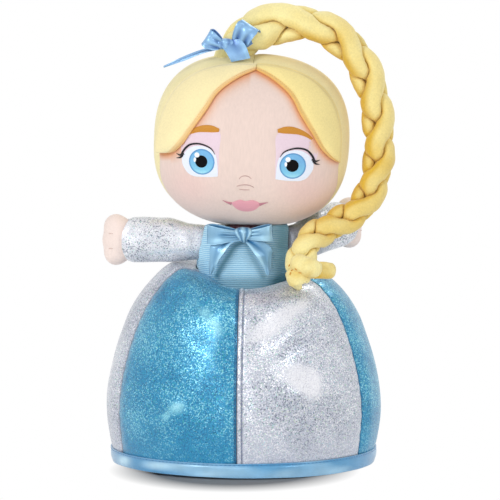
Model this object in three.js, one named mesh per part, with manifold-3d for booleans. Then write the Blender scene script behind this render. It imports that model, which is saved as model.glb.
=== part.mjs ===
// A stuffed princess doll, standing on the flat base of a closed bell skirt.
// Millimetres, +Z up. The doll faces -Y, and the origin is the middle of the base, on the floor.
import * as THREE from "three";
import { mergeVertices } from "three/addons/utils/BufferGeometryUtils.js";
import Module from "manifold-3d";

const wasm = await Module();
wasm.setup();

const degrees = Math.PI / 180;

// Cloth and the clearance between pieces that touch
const clearance = 0.35;
const fabric_thickness = 1.5;
const ribbon_thickness = 1.0;

// Skirt: a bell of sewn gores, drawn in at the hem and rounded over at the top
const skirt_base_radius = 84.5;
const skirt_belly_radius = 89.1;
const skirt_belly_height = 39;
const skirt_flank_radius = 82.6;
const skirt_flank_height = 75.5;
const skirt_shoulder_radius = 67.5;
const skirt_shoulder_height = 109;
const skirt_crest_radius = 46;
const skirt_crest_height = 130.5;
const gore_count = 6;
const gore_turn = -3 * degrees;
const front_gore_angle = 65 * degrees;
const seam_depth = 1.6;
const seam_width = 7;

// Waist seam, an oval that dips to the front and to the doll's left
const waist_half_width = 29.5;
const waist_half_depth = 22;
const waist_drop = 1.5;
const waist_front_dip = 9;
const waist_side_dip = 8;

// Base panel, its bound hem and the bag of pellets that lies on it
const base_thickness = 2.5;
const hem_height = 10;
const hem_thickness = 1.8;
const pellet_bag_radius = 56;
const pellet_bag_height = 13;

// Bodice
const bodice_height = 25;
const bodice_half_width = 27;
const bodice_half_depth = 20;
const bodice_squareness = 2.1;
const bodice_lean = 3.5;
const bodice_edge = 4;
const collar_radius = 13.6;

// Neck
const neck_radius = 12.5;
const neck_height = 4;
const neck_dome = 1.6;

// Head
const head_half_width = 63.4;
const head_half_depth = 50;
const head_half_height = 56.1;
const head_squareness = 2.5;
const head_roundness = 2.2;
const head_sunk = 2.3;
const head_shift = 5.2;
const head_turn = -3 * degrees;
const head_tilt = 2.3 * degrees;
const face_seam_depth = 20;

// Padded flaps of hair over the forehead
const flap_thickness = 3.2;
const parting_height = 48.6;
const parting_offset = 1.2;
const flap_temple_height = 10.5;
const flap_temple_half_width = 39.3;
const flap_tip_height = -8;

// Arms
const shoulder_gap = 0.45;
const sleeve_length = 47;
const sleeve_root_half_depth = 9;
const shoulder_offset = 4.3;
const sleeve_root_half_height = 11.4;
const sleeve_wrist_half_depth = 12.5;
const sleeve_wrist_half_height = 14.6;
const arm_rise = 1.6;
const hand_length = 14;
const hand_half_height = 15.6;
const hand_half_depth = 9;
const right_arm_turn = 180 * degrees;
const left_arm_turn = 48 * degrees;
const left_arm_rise = 6;

// Braid of three stuffed strands
const braid_half_width = 12.2;
const braid_half_thickness = 13.5;
const braid_sway = 5.4;
const braid_depth = 5.2;
const strand_radius = 11.5;
const strand_gap = 2;
const strand_softness = 6;
const braid_turns = 3.4;
const braid_tightening = 0.5;
const braid_phase = 100 * degrees;
const braid_face_turn = 45 * degrees;
const braid_root = 0.8;
const braid_taper = 0.82;
const braid_arch_height = 21.5;
const braid_side_reach = 19.5;
const braid_tip_forward = 48;
const braid_steps = 120;
const strand_sides = 8;

// Ribbon bows
const chest_bow_loop_length = 19;
const chest_bow_loop_width = 14;
const chest_bow_knot = 10;
const chest_bow_loop_swell = 4;
const chest_bow_tail_drop = 26;
const hair_bow_loop_length = 22;
const hair_bow_loop_width = 15;
const hair_bow_loop_swell = 4.5;
const hair_bow_knot = 8;
const hair_bow_tail_length = 42;
const hair_bow_tail_drop = 13;
const hair_bow_side = 17;
const hair_bow_forward = 21;
const hair_bow_rise = 10;

const lerp = THREE.MathUtils.lerp;
const smoothstep = THREE.MathUtils.smoothstep;

// Solids and meshes

function merged(geometry) {
  const bare = geometry.clone();
  bare.deleteAttribute("normal");
  bare.deleteAttribute("uv");
  const position = bare.attributes.position;
  for (let i = 0; i < position.array.length; i++) {
    position.array[i] = Math.round(position.array[i] * 1e4) / 1e4;
  }
  return mergeVertices(bare, 1e-3);
}

function solid(geometry) {
  const joined = merged(geometry);
  const index = joined.index.array;
  const kept = [];
  for (let i = 0; i < index.length; i += 3) {
    const [a, b, c] = [index[i], index[i + 1], index[i + 2]];
    if (a !== b && b !== c && c !== a) {
      kept.push(a, b, c);
    }
  }
  const mesh = new wasm.Mesh({
    numProp: 3,
    vertProperties: new Float32Array(joined.attributes.position.array),
    triVerts: new Uint32Array(kept),
  });
  return new wasm.Manifold(mesh);
}

function geometryOf(manifold) {
  const mesh = manifold.getMesh();
  const geometry = new THREE.BufferGeometry();
  geometry.setAttribute("position", new THREE.Float32BufferAttribute(mesh.vertProperties, 3));
  geometry.setIndex(new THREE.Uint32BufferAttribute(mesh.triVerts, 1));
  return merged(geometry);
}

// A closed body from rings of points with the same count, capped at both ends.
function loft(rings, endPoint, startPoint) {
  const sides = rings[0].length;
  const points = rings.flat();
  const faces = [];
  for (let row = 0; row + 1 < rings.length; row++) {
    for (let i = 0; i < sides; i++) {
      const j = (i + 1) % sides;
      const [a, b] = [row * sides + i, row * sides + j];
      faces.push(a, b, b + sides, a, b + sides, a + sides);
    }
  }
  const start = points.length;
  points.push(startPoint ?? middle(rings[0]));
  const end = points.length;
  points.push(endPoint ?? middle(rings[rings.length - 1]));
  const last = (rings.length - 1) * sides;
  for (let i = 0; i < sides; i++) {
    const j = (i + 1) % sides;
    faces.push(start, j, i);
    faces.push(end, last + i, last + j);
  }
  return facing(points, faces);
}

// A curved panel between two matching grids of points, closed round its rim.
function panel(outer, inner) {
  const rows = outer.length;
  const columns = outer[0].length;
  const points = [...outer.flat(), ...inner.flat()];
  const faces = [];
  const at = (side, row, column) => side * rows * columns + row * columns + column;
  const quad = (a, b, c, d) => faces.push(a, b, c, a, c, d);
  for (let i = 0; i + 1 < rows; i++) {
    for (let j = 0; j + 1 < columns; j++) {
      quad(at(0, i, j), at(0, i, j + 1), at(0, i + 1, j + 1), at(0, i + 1, j));
      quad(at(1, i, j), at(1, i + 1, j), at(1, i + 1, j + 1), at(1, i, j + 1));
    }
    quad(at(0, i, 0), at(0, i + 1, 0), at(1, i + 1, 0), at(1, i, 0));
    quad(at(0, i, columns - 1), at(1, i, columns - 1), at(1, i + 1, columns - 1), at(0, i + 1, columns - 1));
  }
  for (let j = 0; j + 1 < columns; j++) {
    quad(at(0, 0, j), at(1, 0, j), at(1, 0, j + 1), at(0, 0, j + 1));
    quad(at(0, rows - 1, j), at(0, rows - 1, j + 1), at(1, rows - 1, j + 1), at(1, rows - 1, j));
  }
  return facing(points, faces);
}

function middle(points) {
  const sum = new THREE.Vector3();
  points.forEach((p) => sum.add(p));
  return sum.divideScalar(points.length);
}

// Turns the faces outward, whichever way round they were written.
function facing(points, faces) {
  let volume = 0;
  for (let i = 0; i < faces.length; i += 3) {
    const [a, b, c] = [points[faces[i]], points[faces[i + 1]], points[faces[i + 2]]];
    volume += a.dot(new THREE.Vector3().crossVectors(b, c));
  }
  const order = volume < 0 ? [...faces].reverse() : faces;
  const geometry = new THREE.BufferGeometry().setFromPoints(points);
  geometry.setIndex(order);
  return geometry;
}

// An oval section: superellipse of the given half sizes, as [across, along] pairs.
function oval(halfAcross, halfAlong, squareness, angle) {
  const [c, s] = [Math.cos(angle), Math.sin(angle)];
  const reach = Math.pow(
    Math.pow(Math.abs(c / halfAcross), squareness) + Math.pow(Math.abs(s / halfAlong), squareness),
    -1 / squareness,
  );
  return [reach * c, reach * s];
}

function steps(count) {
  return Array.from({ length: count + 1 }, (_, i) => i / count);
}

// Skirt

const skirt_line = new THREE.CatmullRomCurve3(
  [
    new THREE.Vector3(skirt_base_radius, 0, 0),
    new THREE.Vector3(skirt_belly_radius, 0, skirt_belly_height),
    new THREE.Vector3(skirt_flank_radius, 0, skirt_flank_height),
    new THREE.Vector3(skirt_shoulder_radius, 0, skirt_shoulder_height),
    new THREE.Vector3(skirt_crest_radius, 0, skirt_crest_height),
    new THREE.Vector3(waist_half_width, 0, skirt_crest_height - waist_drop),
  ],
  false,
  "centripetal",
);

// How far the waist is pulled down, at an angle round the body (0 is the doll's left, +X).
function waistDip(angle) {
  const front = (1 - Math.sin(angle)) / 2;
  const side = (1 + Math.cos(angle)) / 2;
  return waist_front_dip * front * front + waist_side_dip * side;
}

function skirtPoint(angle, along, inset) {
  const on = skirt_line.getPoint(along);
  const way = skirt_line.getTangent(along);
  const radius = on.x - inset * way.z;
  const height = on.z + inset * way.x;
  const top = smoothstep(along, 0.55, 1);
  const waist = oval(waist_half_width, waist_half_depth, 2, angle);
  const squeeze = lerp(1, Math.hypot(...waist) / waist_half_width, smoothstep(along, 0.7, 1));
  const nearest = angleToSeam(angle) * on.x;
  const fade = smoothstep(along, 0, 0.12) * (1 - smoothstep(along, 0.72, 0.98));
  const pinch = seam_depth * fade * Math.exp(-Math.pow(nearest / seam_width, 2));
  const reach = (radius - pinch) * squeeze;
  const drop = waistDip(angle) * top;
  const shift = bodiceCentre(0) * smoothstep(along, 0.7, 1);
  return new THREE.Vector3(reach * Math.cos(angle) + shift, reach * Math.sin(angle), height - drop);
}

function firstSeam() {
  return -Math.PI / 2 + gore_turn;
}

// The angle at which a gore starts, counted round from the front centre seam. The first and the
// last gore are the wide ones in front, and the others share the rest.
function seamAngle(index) {
  const other = (2 * Math.PI - 2 * front_gore_angle) / (gore_count - 2);
  const past_first = index === 0 ? 0 : front_gore_angle + (index - 1) * other;
  return firstSeam() + (index === gore_count ? 2 * Math.PI : past_first);
}

function angleToSeam(angle) {
  const apart = (index) => {
    const turned = Math.abs(angle - seamAngle(index)) % (2 * Math.PI);
    return Math.min(turned, 2 * Math.PI - turned);
  };
  return Math.min(...steps(gore_count).map((share) => apart(share * gore_count)));
}

// The place along the skirt line that lies at a height above the floor.
function skirtAlong(height) {
  let [low, high] = [0, 0.6];
  for (let i = 0; i < 40; i++) {
    const half = (low + high) / 2;
    if (skirt_line.getPoint(half).z < height) {
      low = half;
    } else {
      high = half;
    }
  }
  return low;
}

const gore_rows = 10;
const gore_columns = 6;

// A ring of points round the skirt whose columns line up with those of the gores.
function skirtRing(point) {
  const columns = gore_count * gore_columns;
  return Array.from({ length: columns }, (_, i) => {
    const index = Math.floor(i / gore_columns);
    const across = (i % gore_columns) / gore_columns;
    return point(lerp(seamAngle(index), seamAngle(index + 1), across));
  });
}

// A ring of points round the bodice, evenly spaced from the front centre seam.
function ringAround(point) {
  return ring(gore_count * gore_columns, (angle) => point(angle + firstSeam()));
}

function goreAlong(up) {
  return lerp(skirtAlong(hem_height + clearance), 1, up);
}

function gore(index) {
  const grid = (inset) =>
    steps(gore_rows).map((up) => {
      const along = goreAlong(up);
      return steps(gore_columns).map((across) => {
        const half_gap = clearance / 2 / skirt_line.getPoint(along).x;
        const angle = lerp(seamAngle(index) + half_gap, seamAngle(index + 1) - half_gap, across);
        return skirtPoint(angle, along, inset);
      });
    });
  return panel(grid(0), grid(fabric_thickness));
}

function ring(count, point) {
  return Array.from({ length: count }, (_, i) => point((i / count) * 2 * Math.PI));
}

// The hem binding: a band of ribbon round the foot of the gores and the edge of the base.
function hemBinding() {
  const profile = [
    new THREE.Vector2(skirt_base_radius - hem_thickness, 0),
    new THREE.Vector2(skirt_base_radius, 0),
    new THREE.Vector2(skirt_line.getPoint(skirtAlong(hem_height)).x, hem_height),
    new THREE.Vector2(skirt_line.getPoint(skirtAlong(hem_height)).x - hem_thickness, hem_height),
    new THREE.Vector2(skirt_base_radius - hem_thickness, 0),
  ];
  return new THREE.LatheGeometry(profile, 48).rotateX(Math.PI / 2);
}

function disc(radius, thickness) {
  return new THREE.CylinderGeometry(radius, radius, thickness, 48)
    .rotateX(Math.PI / 2)
    .translate(0, 0, thickness / 2);
}

function pelletBag() {
  const edge = pellet_bag_height / 2;
  const profile = [
    new THREE.Vector2(0, 0),
    new THREE.Vector2(pellet_bag_radius - edge, 0),
    new THREE.Vector2(pellet_bag_radius, edge),
    new THREE.Vector2(pellet_bag_radius - edge, pellet_bag_height),
    new THREE.Vector2(0, pellet_bag_height),
  ];
  return new THREE.LatheGeometry(profile, 24).rotateX(Math.PI / 2);
}

// The skirt's filling, hollowed underneath for the bag of pellets.
function skirtFilling() {
  const floor = base_thickness + clearance;
  const inset = hem_thickness + 1.5 * clearance;
  const hollow_radius = pellet_bag_radius + 2 * clearance;
  const hollow_top = floor + pellet_bag_height + clearance;
  const flat = (radius, height) =>
    skirtRing((a) => new THREE.Vector3(radius * Math.cos(a), radius * Math.sin(a), height));
  const around = (along) => skirtRing((a) => skirtPoint(a, along, inset));
  const rings = [flat(hollow_radius, hollow_top), flat(hollow_radius, floor), around(skirtAlong(floor))];
  steps(gore_rows).forEach((up) => rings.push(around(goreAlong(up))));
  return loft(rings);
}

// Bodice

const waist_height = skirt_crest_height - waist_drop;
const bodice_top = waist_height + bodice_height;

function bodiceCentre(up) {
  return lerp(-bodice_lean / 2, bodice_lean / 2, up);
}

// A point of the upright side of the bodice, from the waist seam (0) to the rolled edge (1).
function bodicePoint(angle, up, inset) {
  const half_width = lerp(waist_half_width, bodice_half_width, up) - inset;
  const half_depth = lerp(waist_half_depth, bodice_half_depth, up) - inset;
  const squareness = lerp(2, bodice_squareness, smoothstep(up, 0, 0.5));
  const [x, y] = oval(half_width, half_depth, squareness, angle);
  const foot = waist_height + clearance - waistDip(angle);
  const height = lerp(foot, bodice_top - bodice_edge, up);
  return new THREE.Vector3(x + bodiceCentre(up), y, height);
}

// The sections of the bodice from the waist, up its sides and over the rolled shoulder edge.
function bodiceSections(inset) {
  const edge = bodice_edge - inset;
  const upright = [0, 0.5, 1].map((up) => (angle) => bodicePoint(angle, up, inset));
  const rolled = [45, 90].map((turn) => (angle) => {
    const on = bodicePoint(angle, 1, inset + edge * (1 - Math.cos(turn * degrees)));
    return on.setZ(bodice_top - bodice_edge + edge * Math.sin(turn * degrees));
  });
  const flat = (angle) => bodicePoint(angle, 1, bodice_half_depth - collar_radius).setZ(bodice_top - inset);
  return [...upright, ...rolled, flat];
}

function torsoFilling() {
  const sections = bodiceSections(fabric_thickness + clearance);
  return loft(sections.map(ringAround), null, middle(ringAround(sections[0])));
}

// Half of the bodice, from one side seam round to the other.
function bodicePanel(from) {
  const columns = (gore_count * gore_columns) / 2;
  const side_gap = clearance / 2 / bodice_half_depth;
  const grid = (inset) =>
    bodiceSections(inset).map((section) =>
      steps(columns).map((across) => section(lerp(from + side_gap, from + Math.PI - side_gap, across))),
    );
  return panel(grid(0), grid(fabric_thickness));
}

function shoulder(side) {
  return new THREE.Vector3(bodiceCentre(1) + side * (bodice_half_width + shoulder_offset), 0, 0);
}

// The hollow in the side of the bodice that the round root of a sleeve sits in.
function shoulderHollow(side) {
  const radius = sleeve_root_half_depth + shoulder_gap;
  const post = new THREE.CylinderGeometry(radius, radius, 2 * bodice_top, 32)
    .rotateX(Math.PI / 2)
    .translate(shoulder(side).x, 0, bodice_top);
  return solid(post);
}

function withoutShoulders(geometry) {
  return geometryOf(solid(geometry).subtract(shoulderHollow(-1)).subtract(shoulderHollow(1)));
}

// Neck: a short stuffed stump with a domed top, on which the head rocks and turns.
const neck_x = bodiceCentre(1) + 2;
const neck_foot = bodice_top - fabric_thickness;

function neck() {
  const top = neck_foot + neck_height;
  const profile = [
    new THREE.Vector2(0, neck_foot),
    new THREE.Vector2(neck_radius, neck_foot),
    new THREE.Vector2(neck_radius, top - neck_dome),
    new THREE.Vector2(neck_radius * 0.7, top - neck_dome / 2),
    new THREE.Vector2(0, top),
  ];
  return new THREE.LatheGeometry(profile, 24).rotateX(Math.PI / 2).translate(neck_x, 0, 0);
}

// Head

const head_rest = neck_foot + neck_height + clearance;
const head_centre = new THREE.Vector3(head_shift, 0, head_rest - head_sunk + head_half_height);
const head_place = new THREE.Matrix4()
  .makeTranslation(head_centre)
  .multiply(new THREE.Matrix4().makeRotationY(head_tilt))
  .multiply(new THREE.Matrix4().makeRotationZ(head_turn));

// The head's rounded form, swollen by an amount, as a closed solid in the doll's frame.
function headForm(swell) {
  const form = new THREE.SphereGeometry(1, 24, 14);
  const position = form.attributes.position;
  for (let i = 0; i < position.count; i++) {
    const [x, y, z] = [position.getX(i), position.getY(i), position.getZ(i)];
    const across = Math.pow(Math.abs(x / (head_half_width + swell)), head_squareness);
    const upward = Math.pow(Math.abs(z / (head_half_height + swell)), head_squareness);
    const outline = Math.pow(across + upward, head_roundness / head_squareness);
    const forward = Math.pow(Math.abs(y / (head_half_depth + swell)), head_roundness);
    const reach = Math.pow(outline + forward, -1 / head_roundness);
    position.setXYZ(i, x * reach, y * reach, z * reach);
  }
  return solid(form.applyMatrix4(head_place));
}

function block(width, depth, height, x, y, z, place) {
  const box = new THREE.BoxGeometry(width, depth, height).translate(x, y, z);
  return solid(place ? box.applyMatrix4(place) : box);
}

const far = 3 * head_half_width;

// Everything below the flat underside that rests on the neck.
const below_head = block(far, far, far, head_centre.x, 0, head_rest - far / 2);

function inFrontOfSeam(shift) {
  return block(far, far, far, 0, -face_seam_depth - shift - far / 2, 0, head_place);
}

function behindSeam(shift) {
  return block(far, far, far, 0, -face_seam_depth + shift + far / 2, 0, head_place);
}

function besideParting(side) {
  return block(far, far, far, side * (far / 2 + clearance / 2), 0, 0, head_place);
}

const head_skin = headForm(0).subtract(headForm(-fabric_thickness)).subtract(below_head);

function headFilling() {
  return geometryOf(headForm(-fabric_thickness - clearance).subtract(below_head));
}

function facePanel() {
  return geometryOf(head_skin.intersect(inFrontOfSeam(clearance / 2)));
}

function hairBack(side) {
  return geometryOf(head_skin.intersect(behindSeam(clearance / 2)).intersect(besideParting(side)));
}

// Outline of a hair flap seen from the front: its edge sweeps from the parting to the temple.
function flapOutline(side) {
  const edge = new THREE.CatmullRomCurve3(
    [
      [parting_offset, parting_height],
      [flap_temple_half_width * 0.31, parting_height - 5],
      [flap_temple_half_width * 0.61, parting_height - 14],
      [flap_temple_half_width * 0.8, lerp(parting_height, flap_temple_height, 0.68)],
      [flap_temple_half_width, flap_temple_height],
      [flap_temple_half_width + 7, lerp(flap_temple_height, flap_tip_height, 0.6)],
      [flap_temple_half_width + 14.5, flap_tip_height + 0.8],
      [head_half_width + 8, flap_tip_height],
    ].map(([x, z]) => new THREE.Vector3(x, z, 0)),
  );
  const start = side > 0 ? clearance / 2 : -clearance / 2;
  const points = edge.getPoints(20).map((p) => new THREE.Vector2(side * p.x + parting_offset, p.y));
  points.push(new THREE.Vector2(side * (head_half_width + 8) + parting_offset, far / 2));
  points.push(new THREE.Vector2(start + parting_offset, far / 2));
  points.unshift(new THREE.Vector2(start + parting_offset, parting_height));
  return new THREE.Shape(points);
}

function hairFlap(side) {
  const cutter = new THREE.ExtrudeGeometry(flapOutline(side), {
    depth: far / 2,
    bevelEnabled: false,
  });
  const through = solid(cutter.rotateX(Math.PI / 2).applyMatrix4(head_place));
  const thick = headForm(clearance + flap_thickness).subtract(headForm(clearance));
  return geometryOf(thick.intersect(inFrontOfSeam(clearance / 2)).intersect(through));
}

// Braid: the route of its middle, from the crown over an arch and down to the skirt

const crown = head_centre.z + head_half_height;
const braid_side_x = head_centre.x + head_half_width + braid_side_reach;
const skirt_top = skirt_crest_height;

// A point of the route: sideways from the head's middle (0) to the hanging side (1), forward from
// the crown (0) to the tip (1), and up from the crown in arch heights, or down to the skirt (-1).
function routePoint([sideways, forward, up]) {
  const x = lerp(head_centre.x, braid_side_x, sideways);
  const z = crown + up * (up > 0 ? braid_arch_height : crown - skirt_top);
  return new THREE.Vector3(x, -forward * braid_tip_forward, z);
}

const braid_route = new THREE.CatmullRomCurve3(
  [
    [-0.22, -0.02, -0.1],
    [-0.13, -0.02, 0.22],
    [0.03, -0.02, 0.84],
    [0.3, 0, 1.01],
    [0.6, 0.02, 0.72],
    [0.83, 0.07, -0.01],
    [0.96, 0.13, -0.2],
    [1, 0.21, -0.4],
    [0.97, 0.31, -0.58],
    [0.86, 0.43, -0.715],
    [0.68, 0.56, -0.785],
    [0.5, 0.71, -0.84],
    [0.395, 0.86, -0.925],
    [0.36, 1, -1.085],
  ].map(routePoint),
  false,
  "centripetal",
);
braid_route.arcLengthDivisions = 400;

// Middle, across and outward directions of the braid, and its size there.
function braidFrame(along) {
  const at = braid_route.getPointAt(along);
  const way = braid_route.getTangentAt(along);
  const towards = new THREE.Vector3(0, -1, 0);
  const outward = towards.addScaledVector(way, -towards.dot(way)).normalize();
  outward.applyAxisAngle(way, braid_face_turn);
  const across = new THREE.Vector3().crossVectors(way, outward);
  const from_root = lerp(braid_root, 1, smoothstep(along, 0, 0.13));
  const size = from_root * lerp(1, braid_taper, smoothstep(along, 0.1, 1));
  return { at, across, outward, size };
}

function strandCentre(strand, along, size) {
  const turned = along * lerp(1, along, braid_tightening);
  const turn = braid_phase + 2 * Math.PI * (strand / 3 + braid_turns * turned);
  const splay = 1 + 0.5 * smoothstep(along, 0.93, 1);
  return [
    braid_sway * size * splay * Math.sin(turn),
    -braid_depth * size * Math.sin(2 * turn),
  ];
}

// How far it is, from a point of the section, to the oval that the whole braid fills.
function toEnvelope([x, y], c, s, size) {
  const [a, b] = [braid_half_thickness * size, braid_half_width * size];
  const square = Math.pow(c / a, 2) + Math.pow(s / b, 2);
  const half = (x * c) / (a * a) + (y * s) / (b * b);
  const inside = 1 - Math.pow(x / a, 2) - Math.pow(y / b, 2);
  return (Math.sqrt(half * half + square * inside) - half) / square;
}

// One section of a strand: round where it is free, and squashed flat against the other two.
function strandSection(strand, along, swell) {
  const { at, across, outward, size } = braidFrame(along);
  const own = strandCentre(strand, along, size);
  const others = [1, 2].map((next) => strandCentre((strand + next) % 3, along, size));
  const free = strand_radius * size * swell;
  return ring(strand_sides, (angle) => {
    const [c, s] = [Math.cos(angle), Math.sin(angle)];
    let tightness = Math.pow(1 / free, strand_softness);
    tightness += Math.pow(1 / (swell * toEnvelope(own, c, s, size)), strand_softness);
    for (const other of others) {
      const [dx, dy] = [other[0] - own[0], other[1] - own[1]];
      const apart = Math.hypot(dx, dy);
      const facing_other = (c * dx + s * dy) / apart;
      if (facing_other > 0.05) {
        const limit = (apart / 2 - strand_gap / 2) / facing_other;
        tightness += Math.pow(1 / limit, strand_softness);
      }
    }
    const reach = Math.pow(tightness, -1 / strand_softness);
    return at
      .clone()
      .addScaledVector(across, own[0] + reach * c)
      .addScaledVector(outward, own[1] + reach * s);
  });
}

const strand_ends = [0.985, 1, 0.955];

function strand(index) {
  const end = strand_ends[index];
  const tip = 0.028;
  const rings = steps(braid_steps)
    .filter((along) => along < end - tip)
    .map((along) => strandSection(index, along, 1));
  for (const turn of [0, 16, 33, 53, 80]) {
    const along = end - tip + tip * Math.sin(turn * degrees);
    rings.push(strandSection(index, along, Math.cos(turn * degrees)));
  }
  return loft(rings);
}

// A strand seated on the crown, which it is sewn to.
function seatedStrand(index) {
  return geometryOf(solid(strand(index)).subtract(headForm(clearance)));
}

// Arms, built out along +X from the shoulder's upright axis

function sleeveSection(out, rise) {
  const up = smoothstep(out, 4, 0.45 * sleeve_length);
  const depth = lerp(sleeve_root_half_depth, sleeve_wrist_half_depth, smoothstep(out, 0, sleeve_length));
  const height = lerp(sleeve_root_half_height, sleeve_wrist_half_height, up);
  const inner = Math.max(0, -out / sleeve_root_half_depth);
  const round = Math.sqrt(Math.max(0, 1 - inner * inner));
  const soft = lerp(0.72, 1, round);
  const centre = arm_height + arm_rise * up + rise * smoothstep(out, 0, sleeve_length);
  return ring(16, (a) => {
    const [y, z] = oval(Math.max(depth * round, 0.8), height * soft, 2.4, a);
    return new THREE.Vector3(out, y, centre + z);
  });
}

const arm_height = skirt_crest_height + clearance + sleeve_root_half_height + 1.5;

function sleeve(rise) {
  const places = [-0.985, -0.87, -0.6, -0.3].map((part) => part * sleeve_root_half_depth);
  const outer = steps(6).map((i) => i * sleeve_length);
  return loft([...places, ...outer].map((out) => sleeveSection(out, rise)));
}

// A mitten hand with three short fingers marked off by stitching.
function hand(rise) {
  const wrist = sleeve_length + clearance;
  const middle_height = arm_height + arm_rise + rise;
  const knob = (x, z, half_length, half_depth, half_height) => {
    const form = new THREE.SphereGeometry(1, 10, 6).scale(half_length, half_depth, half_height);
    return solid(form.translate(x, 0, z));
  };
  const spread = hand_half_height * 0.62;
  const reach = wrist + hand_length;
  let form = knob(wrist + 3, middle_height, hand_length * 0.75, hand_half_depth, hand_half_height * 0.92);
  [-1, 0, 1].forEach((finger) => {
    const length = finger === 0 ? 7.5 : 7;
    const at = reach - length - 0.6 * Math.abs(finger);
    form = form.add(knob(at, middle_height + finger * spread, length, hand_half_depth * 0.8, spread * 0.66));
  });
  const behind = block(far, far, far, wrist - far / 2, 0, middle_height);
  return geometryOf(form.subtract(behind));
}

function armGroup(side, turn) {
  const group = new THREE.Group();
  group.position.copy(shoulder(side));
  group.rotation.z = turn;
  return group;
}

// Bows, tied in ribbon, facing -Y with the knot at the origin

function bowLoop(length, width, knot, swell, lean) {
  const stations = 12;
  const points = [];
  const faces = [];
  for (let i = 0; i < stations; i++) {
    const turn = (i / stations) * 2 * Math.PI;
    const x = (length * (1 - Math.cos(turn))) / 2;
    const y = swell * Math.sin(turn) * Math.pow(x / length + 0.05, 0.5);
    const half = lerp(knot, width, Math.pow(x / length, 0.6)) / 2;
    const inward = new THREE.Vector2((length / 2) * Math.sin(turn), swell * Math.cos(turn)).normalize();
    const [nx, ny] = [-inward.y * ribbon_thickness, inward.x * ribbon_thickness];
    points.push(new THREE.Vector3(x, y, -half));
    points.push(new THREE.Vector3(x, y, half));
    points.push(new THREE.Vector3(x + nx, y + ny, half));
    points.push(new THREE.Vector3(x + nx, y + ny, -half));
  }
  for (let i = 0; i < stations; i++) {
    const next = (i + 1) % stations;
    for (let j = 0; j < 4; j++) {
      const k = (j + 1) % 4;
      const [a, b, c, d] = [i * 4 + j, i * 4 + k, next * 4 + k, next * 4 + j];
      faces.push(a, b, c, a, c, d);
    }
  }
  return solid(facing(points, faces).rotateY(lean));
}

function knotHalfDepth(size) {
  return size * 0.45;
}

function bowKnot(size) {
  return solid(new THREE.SphereGeometry(1, 8, 6).scale(size * 0.62, knotHalfDepth(size), size * 0.6));
}

// A tail of ribbon: an outline seen from the front, cut from ribbon and laid back by an amount.
function bowTail(outline, laid_back) {
  const shape = new THREE.Shape(outline.map(([x, z]) => new THREE.Vector2(x, z)));
  const tail = new THREE.ExtrudeGeometry(shape, { depth: ribbon_thickness, bevelEnabled: false });
  return solid(tail.rotateX(Math.PI / 2).rotateX(laid_back));
}

function chestBow() {
  const half = chest_bow_knot / 2;
  const [length, width, swell] = [chest_bow_loop_length, chest_bow_loop_width, chest_bow_loop_swell];
  const low = chest_bow_tail_drop;
  const right_tip = [[-4.4 * half, -low], [-3.6 * half, -low]];
  const right_tail = [[half, -half / 5], [0, half], [-3.4 * half, -1.2 * half], ...right_tip];
  const left_tip = [[3 * half, half - low], [2.4 * half, -low]];
  const left_tail = [[-half, 0], [half, half / 2], [3.4 * half, -half], ...left_tip];
  const form = bowKnot(chest_bow_knot)
    .add(bowLoop(-length, width, chest_bow_knot * 0.7, swell, -3 * degrees))
    .add(bowLoop(length, width, chest_bow_knot * 0.7, swell, 3 * degrees))
    .add(bowTail(right_tail, 0).translate([0, half / 2, 0]))
    .add(bowTail(left_tail, 0).translate([0, 0.64 * half, 0]));
  return geometryOf(form);
}

function hairBow() {
  const half = hair_bow_knot / 2;
  const [length, width, swell] = [hair_bow_loop_length, hair_bow_loop_width, hair_bow_loop_swell];
  const short_tail = [[-half, half / 4], [3 * half, half / 4], [4 * half, -2.2 * half], [half, -3 * half]];
  const tip = [-hair_bow_tail_length, -hair_bow_tail_drop];
  const long_tail = [[half, half / 2], [-half, 0.75 * half], tip, [-half, -0.75 * half]];
  const form = bowKnot(hair_bow_knot)
    .add(bowLoop(length, width, hair_bow_knot * 0.8, swell, -50 * degrees))
    .add(bowLoop(-0.7 * length, 0.8 * width, hair_bow_knot * 0.8, 0.8 * swell, -5 * degrees))
    .add(bowTail(short_tail, -20 * degrees).translate([0, half / 4, 0]))
    .add(bowTail(long_tail, 0).translate([0, half / 4, 0]));
  return geometryOf(form);
}

// Assembly

const colours = {
  glitter_blue: [0x4fa3c8, 0.45, 0.1],
  glitter_silver: [0xcdd2d8, 0.4, 0.15],
  satin: [0x90bfe0, 0.35, 0],
  grosgrain: [0x96c8e1, 0.7, 0],
  face_fleece: [0xeedbcf, 0.95, 0],
  hair_fleece: [0xf2dd96, 0.95, 0],
  filling: [0xf4f4f2, 1, 0],
  base_felt: [0xe8e8ea, 0.95, 0],
};

function finish(name) {
  const [color, roughness, metalness] = colours[name];
  return new THREE.MeshStandardMaterial({ color, roughness, metalness });
}

function piece(name, geometry, material) {
  const mesh = new THREE.Mesh(geometry, finish(material));
  mesh.name = name;
  return mesh;
}

const doll = new THREE.Group();

const base_radius = skirt_base_radius - hem_thickness - clearance;
doll.add(piece("base_panel", disc(base_radius, base_thickness), "base_felt"));
doll.add(piece("hem_binding", hemBinding(), "satin"));
doll.add(piece("skirt_filling", skirtFilling(), "filling"));
const bag = piece("pellet_bag", pelletBag(), "base_felt");
bag.position.z = base_thickness + clearance;
doll.add(bag);

const gore_names = ["front_silver", "side_blue", "back_silver", "back_blue", "side_silver", "front_blue"];
gore_names.forEach((name, index) => {
  const material = name.endsWith("blue") ? "glitter_blue" : "glitter_silver";
  doll.add(piece("skirt_gore_" + name, gore(index), material));
});

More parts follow.
